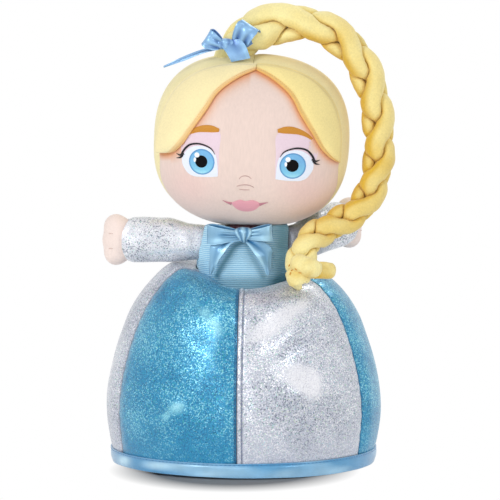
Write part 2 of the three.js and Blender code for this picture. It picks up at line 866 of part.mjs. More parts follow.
doll.add(piece("torso_filling", withoutShoulders(torsoFilling()), "filling"));
doll.add(piece("bodice_front", withoutShoulders(bodicePanel(firstSeam() - Math.PI / 2)), "grosgrain"));
doll.add(piece("bodice_back", withoutShoulders(bodicePanel(firstSeam() + Math.PI / 2)), "glitter_silver"));
doll.add(piece("neck", neck(), "face_fleece"));

// The knot lies on the front of the bodice, and the tails follow its slope down to the waist.
const chest_bow = piece("chest_bow", chestBow(), "satin");
const chest_bow_depth = bodice_half_depth + clearance + knotHalfDepth(chest_bow_knot);
chest_bow.position.set(0, -chest_bow_depth, bodice_top - bodice_edge);
chest_bow.rotation.x = -Math.atan2(waist_half_depth - bodice_half_depth, bodice_height);
doll.add(chest_bow);

doll.add(piece("head_filling", headFilling(), "filling"));
doll.add(piece("face_panel", facePanel(), "face_fleece"));
doll.add(piece("hair_back_right", hairBack(-1), "hair_fleece"));
doll.add(piece("hair_back_left", hairBack(1), "hair_fleece"));
doll.add(piece("hair_flap_right", hairFlap(-1), "hair_fleece"));
doll.add(piece("hair_flap_left", hairFlap(1), "hair_fleece"));

const hair_bow = piece("hair_bow", hairBow(), "satin");
hair_bow.position.set(head_centre.x - hair_bow_side, -hair_bow_forward, crown + hair_bow_rise);
doll.add(hair_bow);

["a", "b", "c"].forEach((letter, index) => {
  doll.add(piece("braid_strand_" + letter, seatedStrand(index), "hair_fleece"));
});

const right_arm = armGroup(-1, right_arm_turn);
right_arm.add(piece("right_sleeve", sleeve(0), "glitter_silver"));
right_arm.add(piece("right_hand", hand(0), "face_fleece"));
doll.add(right_arm);

const left_arm = armGroup(1, left_arm_turn);
left_arm.add(piece("left_sleeve", sleeve(left_arm_rise), "glitter_silver"));
left_arm.add(piece("left_hand", hand(left_arm_rise), "face_fleece"));
doll.add(left_arm);

export default doll;
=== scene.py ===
# A stuffed princess doll, dressed over the CAD frame in glittering knit, satin ribbon and velour.
import bpy
import math
from mathutils import Matrix, Vector, noise

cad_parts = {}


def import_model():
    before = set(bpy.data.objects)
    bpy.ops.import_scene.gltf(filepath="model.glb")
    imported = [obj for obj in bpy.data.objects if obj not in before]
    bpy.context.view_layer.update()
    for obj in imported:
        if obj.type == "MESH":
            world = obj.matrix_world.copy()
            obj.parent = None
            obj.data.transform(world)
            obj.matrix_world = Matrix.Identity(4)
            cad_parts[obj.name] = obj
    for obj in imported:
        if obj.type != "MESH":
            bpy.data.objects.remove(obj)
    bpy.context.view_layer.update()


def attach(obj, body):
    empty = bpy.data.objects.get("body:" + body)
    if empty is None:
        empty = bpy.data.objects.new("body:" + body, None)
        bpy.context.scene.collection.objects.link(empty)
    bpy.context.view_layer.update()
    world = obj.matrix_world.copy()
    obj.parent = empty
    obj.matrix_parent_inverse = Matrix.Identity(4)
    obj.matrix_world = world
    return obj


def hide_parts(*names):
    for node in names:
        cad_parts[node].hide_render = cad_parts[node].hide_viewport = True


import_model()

mm = 0.001
full_turn = 2 * math.pi

# Skirt, in the frame's own sizes
skirt_line_points = [(84.5, 0), (89.1, 39), (82.6, 75.5), (67.5, 109), (46, 130.5), (29.5, 129)]
gore_names = ["front_silver", "side_blue", "back_silver", "back_blue", "side_silver", "front_blue"]
first_seam = math.radians(-93)
front_gore_angle = math.radians(65)
other_gore_angle = (full_turn - 2 * front_gore_angle) / 4
seam_angles = [first_seam + front_gore_angle + i * other_gore_angle for i in range(5)]
seam_angles = [first_seam, *seam_angles, first_seam + full_turn]
seam_depth = 1.6 * mm
seam_width = 7 * mm
seam_gap = 0.1 * mm
cloth_thickness = 1.5 * mm
felled_width = 3.4 * mm
topstitch_inset = 1.3 * mm
front_stitch_pitch = 2.6 * mm

# Hem and base
hem_height = 10 * mm
hem_thickness = 0.8 * mm
hem_radius = 84 * mm
hem_stitch_count = 184
base_rim = 79 * mm
base_ring = 75 * mm
base_top = 2.5 * mm

# Waist and bodice
waist_half_width = 29.5 * mm
waist_half_depth = 22 * mm
waist_height = 129 * mm
waist_point_drop = 5.5 * mm
waist_point_angle = math.radians(-92)
bodice_height = 25 * mm
bodice_half_width = 27 * mm
bodice_half_depth = 20 * mm
bodice_lean = 3.5 * mm
bodice_edge = 2.6 * mm
bodice_rim_rise = 3.4 * mm
bodice_top = waist_height + bodice_height
collar_radius = 13.6 * mm
rib_pitch = 1.25 * mm
twist_pitch = 0.35 * mm

# Neck
neck_x = 3.75 * mm
neck_radius = 12.5 * mm
neck_foot = bodice_top - cloth_thickness
neck_height = 4 * mm
neck_dome = 1.6 * mm

# Head
head_half_width = 63.4 * mm
head_half_depth = 50 * mm
head_half_height = 56.1 * mm
head_squareness = 2.5
head_roundness = 2.2
head_centre = Vector((5.2, 0, 210.65)) * mm
head_turn = math.radians(-3)
head_tilt = math.radians(2.3)
head_underside = 156.85 * mm
chin_rise = 1 * mm
face_seam = 20 * mm
seam_swing = 0.4
head_place = Matrix.Rotation(head_tilt, 4, "Y") @ Matrix.Rotation(head_turn, 4, "Z")
head_place = Matrix.Translation(head_centre) @ head_place
cheek_x = 37 * mm
cheek_z = -27 * mm
cheek_radius = 15 * mm
thread_thickness = 0.15 * mm

# Hair flaps, seen from the front of the head
flap_edge_points = [
    (1.2, 48.6), (12.2, 43.6), (24, 34.6), (31.4, 22.7), (39.3, 10.5), (46.3, -0.6), (53.8, -7.2), (71.4, -8),
]
flap_swell = 3.3 * mm
flap_lip = 0.75 * mm
flap_clearance = 0.25 * mm
flap_groove = 2.6 * mm
flap_end_drop = 3 * mm
parting_x = 1.2 * mm
parting_gap = 0.03 * mm
# How far the painted shadow of the hair reaches onto the face, on the doll's right and left
hair_shadow_reach_right = 4.2 * mm
hair_shadow_reach_left = 2.3 * mm

# Arms
shoulder_offset = 4.3 * mm
sleeve_length = 47 * mm
sleeve_root = 9 * mm
sleeve_cuff = 12.5 * mm
root_half_height = 11.4 * mm
cuff_half_height = 14.6 * mm
arm_height = 143.75 * mm
arm_rise = 1.6 * mm
right_arm_turn = math.pi
left_arm_turn = math.radians(48)
left_arm_lift = 6 * mm
left_sleeve_shadow = 34 * mm

# Ribbons
ribbon_thickness = 0.7 * mm

# Braid
braid_half_width = 12.2 * mm
braid_half_thickness = 13.5 * mm
braid_sway = 5.4 * mm
braid_depth = 5.2 * mm
strand_radius = 10.2 * mm
strand_gap = -0.9 * mm
strand_softness = 2.9
braid_turns = 3.4
braid_tightening = 0.5
braid_phase = math.radians(100)
braid_face_turn = math.radians(64)
braid_root = 0.8
braid_taper = 0.82
braid_root_swell = 0.27
braid_root_drop = 3.2 * mm
crown_height = head_centre.z + head_half_height
skirt_top = 130.5 * mm
braid_arch_height = 21.5 * mm
braid_side_x = 88.1 * mm
braid_tip_forward = 48 * mm
strand_ends = {"a": 0.985, "b": 1.0, "c": 0.955}


def lerp(a, b, share):
    return a + (b - a) * share


def clamp(value, low=0.0, high=1.0):
    return max(low, min(high, value))


def smoothstep(value, low, high):
    share = clamp((value - low) / (high - low))
    return share * share * (3 - 2 * share)


def rounded(share):
    """How high a quarter circle has risen at a share of its run."""
    return math.sqrt(clamp(share) * (2 - clamp(share)))


def close_in(low, high, steps, short):
    """Halves a range again and again, to find the place up to which short(place) holds."""
    for _ in range(steps):
        half = (low + high) / 2
        if short(half):
            low = half
        else:
            high = half
    return low


def oval(half_across, half_along, squareness, angle):
    c, s = math.cos(angle), math.sin(angle)
    reach = (abs(c / half_across) ** squareness + abs(s / half_along) ** squareness) ** (-1 / squareness)
    return reach * c, reach * s


def colour(red, green, blue):
    """A colour as the eye reads it, from 0 to 255, turned into Blender's own linear values."""
    linear = []
    for value in (red, green, blue):
        share = value / 255
        linear.append(share / 12.92 if share <= 0.04045 else ((share + 0.055) / 1.055) ** 2.4)
    return (*linear, 1)


def rough(point, size, seed=0.0):
    """Soft unevenness from -1 to 1, in lumps of about the given size."""
    return noise.noise(point / size + Vector((seed, 2 * seed, -seed)))


class SmoothLine:
    """A smooth line through points, which doesn't overshoot where they lie close together."""

    def __init__(self, points, scale=1.0):
        self.points = [Vector((*p, 0)[:3]) * scale for p in points]
        self.lengths = [0.0]
        last = self.at(0)
        for i in range(1, 401):
            here = self.at(i / 400)
            self.lengths.append(self.lengths[-1] + (here - last).length)
            last = here

    def at(self, share):
        points = self.points
        spans = len(points) - 1
        i = min(int(clamp(share) * spans), spans - 1)
        w = clamp(share) * spans - i
        before = points[i - 1] if i > 0 else 2 * points[0] - points[1]
        after = points[i + 2] if i + 2 <= spans else 2 * points[-1] - points[-2]
        a, b = points[i], points[i + 1]
        d0 = math.sqrt((a - before).length)
        d1 = math.sqrt((b - a).length)
        d2 = math.sqrt((after - b).length)
        start = d1 * ((a - before) / d0 - (b - before) / (d0 + d1) + (b - a) / d1)
        end = d1 * ((b - a) / d1 - (after - a) / (d1 + d2) + (after - b) / d2)
        return a + start * w + (3 * (b - a) - 2 * start - end) * w ** 2 + (2 * (a - b) + start + end) * w ** 3

    def way(self, share):
        return (self.at(share + 0.0001) - self.at(share - 0.0001)).normalized()

    def share_at(self, part):
        """The share of the points' spacing at which a part of the line's length is reached."""
        length = clamp(part) * self.lengths[-1]
        low, high = 0, 400
        while high - low > 1:
            half = (low + high) // 2
            if self.lengths[half] > length:
                high = half
            else:
                low = half
        return (low + (length - self.lengths[low]) / (self.lengths[high] - self.lengths[low])) / 400


def deselect():
    if bpy.context.object and bpy.context.object.mode != "OBJECT":
        bpy.ops.object.mode_set(mode="OBJECT")
    bpy.ops.object.select_all(action="DESELECT")


def choose(piece):
    deselect()
    piece.select_set(True)
    bpy.context.view_layer.objects.active = piece


def named(name):
    piece = bpy.context.object
    piece.name = name
    piece.data.name = name
    return piece


def ball(name, segments, rings, radius=1):
    deselect()
    bpy.ops.mesh.primitive_uv_sphere_add(segments=segments, ring_count=rings, radius=radius)
    return named(name)


def mark(piece, name, values):
    """Keeps a value for each point of a piece, for its material to read."""
    kept = piece.data.attributes.new(name, "FLOAT", "POINT")
    kept.data.foreach_set("value", values)


def cloth(name, columns, rows, place, closed=False):
    """A grid of cloth. place(across, up) gives a point, or a point and how deep in shade it lies."""
    deselect()
    bpy.ops.mesh.primitive_grid_add(x_subdivisions=columns, y_subdivisions=rows, size=1)
    piece = named(name)
    shades = []
    for vertex in piece.data.vertices:
        put = place(vertex.co.x + 0.5, vertex.co.y + 0.5)
        if isinstance(put, tuple):
            put, shade = put
            shades.append(shade)
        vertex.co = put
    if shades:
        mark(piece, "shade", shades)
    if closed:
        close(piece)
    return piece


def edit(piece, operator, **settings):
    """Runs an operator on the whole of a piece in edit mode."""
    choose(piece)
    bpy.ops.object.mode_set(mode="EDIT")
    bpy.ops.mesh.select_all(action="SELECT")
    operator(**settings)
    bpy.ops.object.mode_set(mode="OBJECT")


def merge(piece):
    """Merges the points that meet at seams and poles."""
    edit(piece, bpy.ops.mesh.remove_doubles, threshold=0.01 * mm)


def close(piece):
    """Merges the points that meet, and turns the faces outward."""
    merge(piece)
    edit(piece, bpy.ops.mesh.normals_make_consistent, inside=False)


def cut(piece, point, away):
    """Cuts off what lies beyond a plane, on the side that away points to."""
    edit(piece, bpy.ops.mesh.bisect, plane_co=point, plane_no=away, clear_outer=True, threshold=0.001 * mm)


def modify(piece, kind, **settings):
    choose(piece)
    modifier = piece.modifiers.new(kind.lower(), kind)
    for name, value in settings.items():
        setattr(modifier, name, value)
    bpy.ops.object.modifier_apply(modifier=modifier.name)


def thicken(piece, thickness, offset=-1):
    modify(piece, "SOLIDIFY", thickness=thickness, offset=offset)


def smooth(piece, angle=None):
    choose(piece)
    if angle:
        bpy.ops.object.shade_smooth_by_angle(angle=math.radians(angle))
    else:
        bpy.ops.object.shade_smooth()


def make_cloth(piece):
    """Gives a sewn panel the thickness and the smooth look of stuffed cloth."""
    thicken(piece, cloth_thickness)
    smooth(piece, 60)


def dress(piece, material, body, *nodes, slot):
    """Gives a piece its material, and says what it moves with and which nodes it replaces. Its slot is not
    used.
    """
    piece.data.materials.clear()
    piece.data.materials.append(material)
    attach(piece, body)
    if nodes:
        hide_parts(*nodes)


def copies(name, piece, places):
    """One mesh of many copies of a small piece, which is used up."""
    points = [v.co.copy() for v in piece.data.vertices]
    faces = [tuple(p.vertices) for p in piece.data.polygons]
    mesh = bpy.data.meshes.new(name)
    all_points = [place @ p for place in places for p in points]
    all_faces = [tuple(i + n * len(points) for i in face) for n in range(len(places)) for face in faces]
    mesh.from_pydata(all_points, [], all_faces)
    row = bpy.data.objects.new(name, mesh)
    bpy.context.scene.collection.objects.link(row)
    choose(piece)
    bpy.ops.object.delete()
    smooth(row)
    return row


def stitch(length, width):
    """A short length of thread, plump in the middle and sunk in at both ends, lying along X."""
    piece = ball("stitch", 8, 5, 0.5)
    for vertex in piece.data.vertices:
        x, y, z = vertex.co
        arch = 0.5 - 2 * x * x
        vertex.co = Vector((x * length, y * width, (z * 0.8 + arch * 0.7) * width))
    return piece


def stitches(name, spots, length, width):
    """A row of stitches. Each spot is its middle, the way that it runs, and the way out of the cloth."""
    places = []
    for at, way, out in spots:
        side = out.cross(way).normalized()
        turned = Matrix((way, side, way.cross(side))).transposed().to_4x4()
        places.append(Matrix.Translation(at) @ turned)
    return copies(name, stitch(length, width), places)


# Shader nodes


class Tree:
    """Adds nodes to a tree and joins them up. An input is a plain value or another node's socket."""

    def __init__(self, tree):
        self.tree = tree

    def give(self, target, value):
        if isinstance(value, bpy.types.NodeSocket):
            self.tree.links.new(value, target)
        else:
            target.default_value = value

    def add(self, kind, inputs=None, **settings):
        node = self.tree.nodes.new(kind)
        node.location = (200 * (len(self.tree.nodes) - 1), 0)
        for name, value in settings.items():
            setattr(node, name, value)
        for key, value in (inputs or {}).items():
            self.give(node.inputs[key], value)
        return node

    def maths(self, operation, *values):
        return self.add("ShaderNodeMath", dict(enumerate(values)), operation=operation).outputs[0]

    def centred(self, value):
        return self.maths("SUBTRACT", value, 0.5)

    def vector(self, operation, inputs, output="Vector"):
        return self.add("ShaderNodeVectorMath", inputs, operation=operation).outputs[output]

    def parts(self, place):
        return self.add("ShaderNodeSeparateXYZ", {0: place}).outputs

    def ramp(self, value, low, high, to_low=0.0, to_high=1.0):
        return self.add("ShaderNodeMapRange", {0: value, 1: low, 2: high, 3: to_low, 4: to_high}).outputs[0]

    def mix(self, share, first, second, blend="MIX"):
        inputs = {0: share, 6: first, 7: second}
        return self.add("ShaderNodeMix", inputs, data_type="RGBA", blend_type=blend).outputs[2]

    def grain(self, place, scale, detail=2.0):
        inputs = {"Vector": place, "Scale": scale, "Detail": detail}
        return self.add("ShaderNodeTexNoise", inputs).outputs["Fac"]

    def stretched(self, place, scale):
        return self.add("ShaderNodeMapping", {"Vector": place, "Scale": scale}).outputs[0]

    def lit(self, hue, value):
        return self.add("ShaderNodeHueSaturation", {"Color": hue, "Value": value}).outputs[0]

    def place(self):
        return self.add("ShaderNodeTexCoord").outputs["Object"]

    def kept(self, name):
        return self.add("ShaderNodeAttribute", attribute_name=name).outputs["Fac"]

    def effect(self, group, inputs):
        return self.add("ShaderNodeGroup", inputs, node_tree=group).outputs

    def seen(self):
        """1 where the camera looks straight at a place or finds it in a gloss or behind glass, else 0."""
        rays = self.add("ShaderNodeLightPath").outputs
        beyond = self.maths("MAXIMUM", rays["Is Glossy Ray"], rays["Is Transmission Ray"])
        return self.maths("MAXIMUM", rays["Is Camera Ray"], beyond)


def effect(name, inputs, outputs):
    """A new node group with named inputs and outputs."""
    group = bpy.data.node_groups.new(name, "ShaderNodeTree")
    for label, kind, value in inputs:
        socket = group.interface.new_socket(label, in_out="INPUT", socket_type="NodeSocket" + kind)
        socket.default_value = value
    for label, kind in outputs:
        group.interface.new_socket(label, in_out="OUTPUT", socket_type="NodeSocket" + kind)
    tree = Tree(group)
    return group, tree, tree.add("NodeGroupInput").outputs, tree.add("NodeGroupOutput").inputs


white = (1, 1, 1, 1)
nowhere = (0, 0, 0)


def velour_effect():
    """Short soft pile: fine tufts, broad brushed patches and a deeper colour where it is given painted shade.
    """
    group, tree, given, out = effect(
        "velour pile",
        [("Place", "Vector", nowhere), ("Colour", "Color", white), ("Deep colour", "Color", white),
         ("Shade", "Float", 0), ("Tufts", "Float", 900), ("Contrast", "Float", 0.2)],
        [("Colour", "Color"), ("Height", "Float")],
    )
    fine = tree.grain(given["Place"], given["Tufts"], 3)
    broad = tree.grain(given["Place"], tree.maths("MULTIPLY", given["Tufts"], 0.07), 3)
    deep = tree.mix(given["Shade"], given["Colour"], given["Deep colour"])
    mottle = tree.maths("ADD", tree.centred(fine), tree.maths("MULTIPLY", tree.centred(broad), 0.6))
    value = tree.maths("ADD", tree.maths("MULTIPLY", mottle, given["Contrast"]), 1.0)
    tree.give(out["Colour"], tree.lit(deep, value))
    tree.give(out["Height"], tree.maths("ADD", fine, tree.maths("MULTIPLY", broad, 0.8)))
    return group


def glitter_effect():
    """Knit strewn with tiny bright flakes that each face their own way."""
    group, tree, given, out = effect(
        "glitter knit",
        [("Place", "Vector", nowhere), ("Colour", "Color", white), ("Dark colour", "Color", white),
         ("Bright colour", "Color", white), ("Flakes", "Float", 1500), ("Tilt", "Float", 0.5),
         ("Calm", "Float", 0), ("Shade", "Float", 0), ("Painted highlight", "Float", 0)],
        [("Colour", "Color"), ("Metallic", "Float"), ("Roughness", "Float"), ("Normal", "Vector")],
    )
    flakes = tree.add("ShaderNodeTexVoronoi", {"Vector": given["Place"], "Scale": given["Flakes"]})
    cells = flakes.outputs["Color"]
    parts = tree.add("ShaderNodeSeparateColor", {0: cells}).outputs
    drift = tree.grain(given["Place"], 40, 2)
    dimmed = tree.maths("ADD", parts[0], tree.maths("MULTIPLY", tree.centred(drift), 0.8))
    base = tree.mix(tree.ramp(dimmed, 0.04, 0.26), given["Dark colour"], given["Colour"])
    shining = tree.mix(tree.ramp(dimmed, 0.72, 0.95), base, given["Bright colour"])
    rainbow = tree.mix(tree.ramp(parts[1], 0.8, 1.0, 0.0, 0.45), shining, cells, "OVERLAY")
    calmed = tree.mix(tree.maths("MULTIPLY", given["Calm"], 0.7), rainbow, given["Colour"])
    # Painted shade mixes in the dark colour where the shade input says so; a painted highlight mixes in the
    # bright colour, speckled, and makes the knit less metallic.
    seamed = tree.mix(tree.maths("MULTIPLY", given["Shade"], 0.85), calmed, given["Dark colour"])
    speckled = tree.maths("MULTIPLY", given["Painted highlight"], tree.ramp(parts[1], 0.0, 1.0, 0.45, 0.95))
    tree.give(out["Colour"], tree.mix(speckled, seamed, given["Bright colour"]))
    duller = tree.maths("SUBTRACT", 1.0, given["Painted highlight"])
    tree.give(out["Metallic"], tree.maths("MULTIPLY", tree.ramp(parts[0], 0.2, 0.9, 0.18, 0.4), duller))
    tree.give(out["Roughness"], tree.ramp(parts[2], 0.0, 1.0, 0.26, 0.42))
    own_way = tree.vector("SUBTRACT", {0: cells, 1: (0.5, 0.5, 0.5)})
    tilted = tree.vector("SCALE", {0: own_way, "Scale": given["Tilt"]})
    normal = tree.add("ShaderNodeNewGeometry").outputs["Normal"]
    leaning = tree.vector("ADD", {0: normal, 1: tilted})
    tree.give(out["Normal"], tree.vector("NORMALIZE", {0: leaning}))
    return group


def thread_effect():
    """Fine parallel threads: ribs of a pitch along a direction, slightly uneven."""
    group, tree, given, out = effect(
        "threads",
        [("Along", "Float", 0), ("Place", "Vector", nowhere), ("Colour", "Color", white),
         ("Groove colour", "Color", white), ("Unevenness", "Float", 0.2)],
        [("Colour", "Color"), ("Height", "Float")],
    )
    uneven = tree.maths("MULTIPLY", tree.centred(tree.grain(given["Place"], 300, 3)), given["Unevenness"])
    turned = tree.maths("MULTIPLY", tree.maths("ADD", given["Along"], uneven), full_turn)
    wave = tree.maths("ADD", tree.maths("MULTIPLY", tree.maths("SINE", turned), 0.5), 0.5)
    round_top = tree.maths("POWER", wave, 0.6)
    tree.give(out["Colour"], tree.mix(round_top, given["Groove colour"], given["Colour"]))
    tree.give(out["Height"], round_top)
    return group


velour_pile = velour_effect()
glitter_knit = glitter_effect()
threads = thread_effect()


def join_up(tree, surface, **inputs):
    """Gives the inputs of a material's surface their plain values or sockets."""
    for key, value in inputs.items():
        tree.give(surface.inputs[key.replace("_", " ")], value)


def new_material(name, **constants):
    material = bpy.data.materials.new(name)
    material.use_nodes = True
    tree = Tree(material.node_tree)
    surface = material.node_tree.nodes["Principled BSDF"]
    join_up(tree, surface, **constants)
    return material, tree, surface


def bumped(tree, height, strength, distance):
    bump = tree.add("ShaderNodeBump", {"Height": height, "Strength": strength, "Distance": distance})
    return bump.outputs[0]


def velour(name, pile, deep, tufts, contrast, shaded=False, bump=0.35):
    """Hair and skin cloth with short pile, deeper in colour where a piece's painted shade says so."""
    material, tree, surface = new_material(name, Roughness=0.95, Sheen_Weight=0.25, Sheen_Roughness=0.6)
    made = tree.effect(velour_pile, {
        "Place": tree.place(),
        "Colour": pile,
        "Deep colour": deep,
        "Shade": tree.kept("shade") if shaded else 0.0,
        "Tufts": tufts,
        "Contrast": contrast,
    })
    join_up(tree, surface, Base_Color=made["Colour"], Normal=bumped(tree, made["Height"], bump, 0.6 * mm))
    return material


def glitter(name, base, dark, bright, tilt):
    """Glittering knit, calmer near the hem, with painted shade where its shade mark is above 0 and a painted
    highlight where it is below.
    """
    material, tree, surface = new_material(name, Sheen_Weight=0.1)
    place = tree.place()
    height = tree.parts(place)[2]
    made = tree.effect(glitter_knit, {
        "Place": place,
        "Calm": tree.ramp(height, 14 * mm, 40 * mm, 0.6, 0),
        "Shade": tree.kept("shade"),
        "Painted highlight": tree.ramp(tree.kept("shade"), 0.0, -1.0),
        "Colour": base,
        "Dark colour": dark,
        "Bright colour": bright,
        "Flakes": 1700,
        "Tilt": tilt,
    })
    join_up(tree, surface, Base_Color=made["Colour"], Normal=made["Normal"])
    join_up(tree, surface, Metallic=made["Metallic"], Roughness=made["Roughness"])
    return material


def satin(name, face, groove, deep):
    """Satin ribbon: fine threads along its length, read from its own map, under a soft gloss."""
    material, tree, surface = new_material(name, Roughness=0.28, Metallic=0.2, Sheen_Weight=0.2)
    flat = tree.add("ShaderNodeUVMap").outputs[0]
    streaks = tree.grain(tree.stretched(flat, (5, 60, 1)), 1, 3)
    place = tree.place()
    patch = tree.grain(place, 90, 2)
    made = tree.effect(threads, {
        "Along": tree.maths("MULTIPLY", tree.parts(flat)[1], 34),
        "Place": place,
        "Colour": face,
        "Groove colour": groove,
        "Unevenness": 0.6,
    })
    # Painted shade and highlight: the piece's shade mark mixes the satin towards its deep colour.
    hue = tree.mix(tree.kept("shade"), made["Colour"], deep)
    value = tree.maths("ADD", tree.maths("MULTIPLY", patch, 0.7), tree.maths("MULTIPLY", streaks, 0.3))
    hue = tree.lit(hue, tree.ramp(value, 0.25, 0.75, 0.84, 1.16))
    join_up(tree, surface, Base_Color=hue, Normal=bumped(tree, made["Height"], 0.12, 0.1 * mm))
    return material


def grosgrain():
    """The bodice's ribbed cloth, its ribs one above the other."""
    material, tree, surface = new_material("grosgrain", Roughness=0.6, Sheen_Weight=0.2)
    place = tree.place()
    made = tree.effect(threads, {
        "Along": tree.maths("DIVIDE", tree.parts(place)[2], rib_pitch),
        "Place": place,
        "Colour": colour(202, 238, 255),
        "Groove colour": colour(122, 194, 232),
        "Unevenness": 0.25,
    })
    value = tree.ramp(tree.grain(place, 120, 3), 0.2, 0.8, 0.93, 1.07)
    # Painted shade: the bodice's shade mark mixes in a deep teal.
    hue = tree.lit(tree.mix(tree.kept("shade"), made["Colour"], colour(74, 132, 152)), value)
    join_up(tree, surface, Base_Color=hue, Normal=bumped(tree, made["Height"], 0.6, 0.4 * mm))
    return material


def felt():
    """The base's felt, with hairs that lie one way."""
    material, tree, surface = new_material("base_felt", Roughness=1.0, Sheen_Weight=0.1)
    place = tree.place()
    hairs = tree.grain(tree.stretched(place, (1, 0.35, 1)), 1400, 4)
    value = tree.ramp(hairs, 0.2, 0.8, 0.86, 1.06)
    hue = tree.lit(colour(232, 232, 234), value)
    join_up(tree, surface, Base_Color=hue, Normal=bumped(tree, hairs, 0.5, 0.3 * mm))
    return material


def thread(name, face, groove, roughness=0.55):
    """Embroidery or sewing thread, with its twist showing as a fine slant."""
    material, tree, surface = new_material(name, Roughness=roughness, Sheen_Weight=0.15)
    place = tree.place()
    parts = tree.parts(place)
    slant = tree.maths("ADD", parts[0], tree.maths("MULTIPLY", parts[2], 0.35))
    made = tree.effect(threads, {
        "Along": tree.maths("DIVIDE", slant, twist_pitch),
        "Place": place,
        "Colour": face,
        "Groove colour": groove,
        "Unevenness": 0.5,
    })
    join_up(tree, surface, Base_Color=made["Colour"], Normal=bumped(tree, made["Height"], 0.3, 0.15 * mm))
    return material


def face_velour():
    """The face: peach velour, rosier on the cheeks, lilac over the eyes, with a warm painted shadow beside
    the hair.
    """
    material, tree, surface = new_material(
        "face_velour", Roughness=0.95, Sheen_Weight=0.2, Sheen_Roughness=0.6)
    rosy = tree.mix(tree.kept("blush"), colour(232, 210, 200), colour(233, 203, 195))
    # Painted shadow: the glow mark turns the face warm orange beside the hair.
    warm = tree.mix(tree.kept("glow"), rosy, colour(222, 146, 80))
    made = tree.effect(velour_pile, {
        "Place": tree.stretched(tree.place(), (1, 1, 0.18)),
        "Colour": warm,
        "Deep colour": warm,
        "Shade": 0.0,
        "Tufts": 800,
        "Contrast": 0.16,
    })
    join_up(tree, surface, Base_Color=made["Colour"], Normal=bumped(tree, made["Height"], 0.25, 0.4 * mm))
    return material


def iris_print():
    """The iris: mid blue above, pale turquoise below, with a darker rim and fine rays."""
    material, tree, surface = new_material("iris_print", Roughness=0.5)
    down = tree.kept("down")
    rim = tree.kept("rim")
    body = tree.mix(tree.ramp(down, 0.35, 0.95), colour(118, 182, 228), colour(132, 208, 234))
    light = tree.mix(tree.ramp(down, 0.78, 1.0), body, colour(178, 232, 244))
    edged = tree.mix(tree.ramp(rim, 0.86, 0.94), light, colour(86, 150, 202))
    value = tree.ramp(tree.grain(tree.place(), 700, 2), 0.2, 0.8, 0.95, 1.05)
    join_up(tree, surface, Base_Color=tree.lit(edged, value))
    return material


def printed(name, hue, contrast=0.04, roughness=0.6):
    """A flat colour printed on velour, in which the pile still shows a little."""
    material, tree, surface = new_material(name, Roughness=roughness, Specular_IOR_Level=0.2)
    pile = tree.grain(tree.place(), 1100, 3)
    value = tree.ramp(pile, 0.2, 0.8, 1 - contrast, 1 + contrast)
    join_up(tree, surface, Base_Color=tree.lit(hue, value), Normal=bumped(tree, pile, 0.15, 0.3 * mm))
    return material


blue_glitter = glitter(
    "glitter_blue", colour(42, 140, 185), colour(18, 98, 144), colour(144, 216, 232), 0.13)
sleeve_glitter = glitter(
    "glitter_sleeve", colour(222, 224, 233), colour(120, 126, 142), colour(252, 252, 254), 0.13)
silver_glitter = glitter(
    "glitter_silver", colour(190, 194, 208), colour(116, 122, 140), colour(244, 244, 249), 0.09)
ribbon_satin = satin("satin_ribbon", colour(196, 230, 248), colour(176, 220, 242), colour(70, 146, 194))
bow_satin = satin("satin_bow", colour(178, 222, 246), colour(158, 210, 238), colour(18, 104, 156))
hair_bow_satin = satin("satin_hair_bow", colour(150, 194, 232), colour(134, 182, 224), colour(62, 104, 168))
bodice_grosgrain = grosgrain()
base_cloth = felt()
face_cloth = face_velour()
# Painted shade on the hair turns the velour towards this deep orange.
hair_painted_shade_colour = colour(226, 150, 44)
hand_cloth = velour("hand_velour", colour(242, 224, 216), colour(222, 178, 160), 1100, 0.13)
hair_cloth = velour("hair_velour", colour(243, 224, 152), hair_painted_shade_colour, 900, 0.22, shaded=True)
# Painted light: a paler copy of the hair velour, for the flap on the doll's right, which lies in the stronger
# light.
lit_side_hair_cloth = velour("hair_velour_painted_lit", colour(246, 231, 178), hair_painted_shade_colour, 900, 0.2, shaded=True)
back_hair_cloth = velour("back_hair_velour", colour(244, 231, 176), hair_painted_shade_colour, 900, 0.22)
braid_cloth = velour(
    "braid_velour", colour(247, 234, 166), colour(220, 178, 46), 800, 0.3, shaded=True, bump=0.5)
collar_cloth = velour("collar_cloth", colour(200, 132, 152), colour(150, 84, 106), 1200, 0.25)
lid_cloth = printed("eyelid_tint", colour(231, 209, 220))
eye_white = printed("eye_white", colour(232, 238, 250))
iris_colour = iris_print()
pupil_black = printed("pupil_black", colour(6, 6, 10), 0.1, 0.9)
eye_gleam = printed("eye_gleam", colour(252, 253, 255), 0.02)
lash_black = thread("lash_thread", colour(24, 20, 28), colour(14, 12, 18), roughness=0.8)
brow_thread = thread("brow_thread", colour(214, 148, 36), colour(180, 112, 16))
lip_thread = thread("lip_thread", colour(240, 172, 184), colour(230, 156, 170))
lip_line_thread = thread("lip_line_thread", colour(206, 138, 150), colour(180, 112, 126))
nose_thread = thread("nose_thread", colour(206, 172, 166), colour(190, 150, 146))
blue_thread = thread("blue_thread", colour(86, 138, 190), colour(62, 110, 160))
dark_blue_thread = thread("dark_blue_thread", colour(30, 84, 130), colour(18, 60, 100))
silver_thread = thread("silver_thread", colour(134, 146, 186), colour(104, 116, 160))
gold_thread = thread("gold_thread", colour(226, 160, 48), colour(190, 122, 26))
wrist_thread = thread("wrist_thread", colour(206, 170, 156), colour(176, 138, 126))


# Skirt

skirt_line = SmoothLine(skirt_line_points, mm)


def waist_dip(angle):
    """How much lower the waist seam lies in front and on the doll's left."""
    front = (1 - math.sin(angle)) / 2
    side = (1 + math.cos(angle)) / 2
    return (9 * front ** 3 + 8 * side) * mm


def waist_point(angle):
    """The waist seam runs down to a soft point in front."""
    turned = (angle - waist_point_angle + math.pi) % full_turn - math.pi
    return waist_point_drop * math.exp(-(turned / 0.5) ** 2)


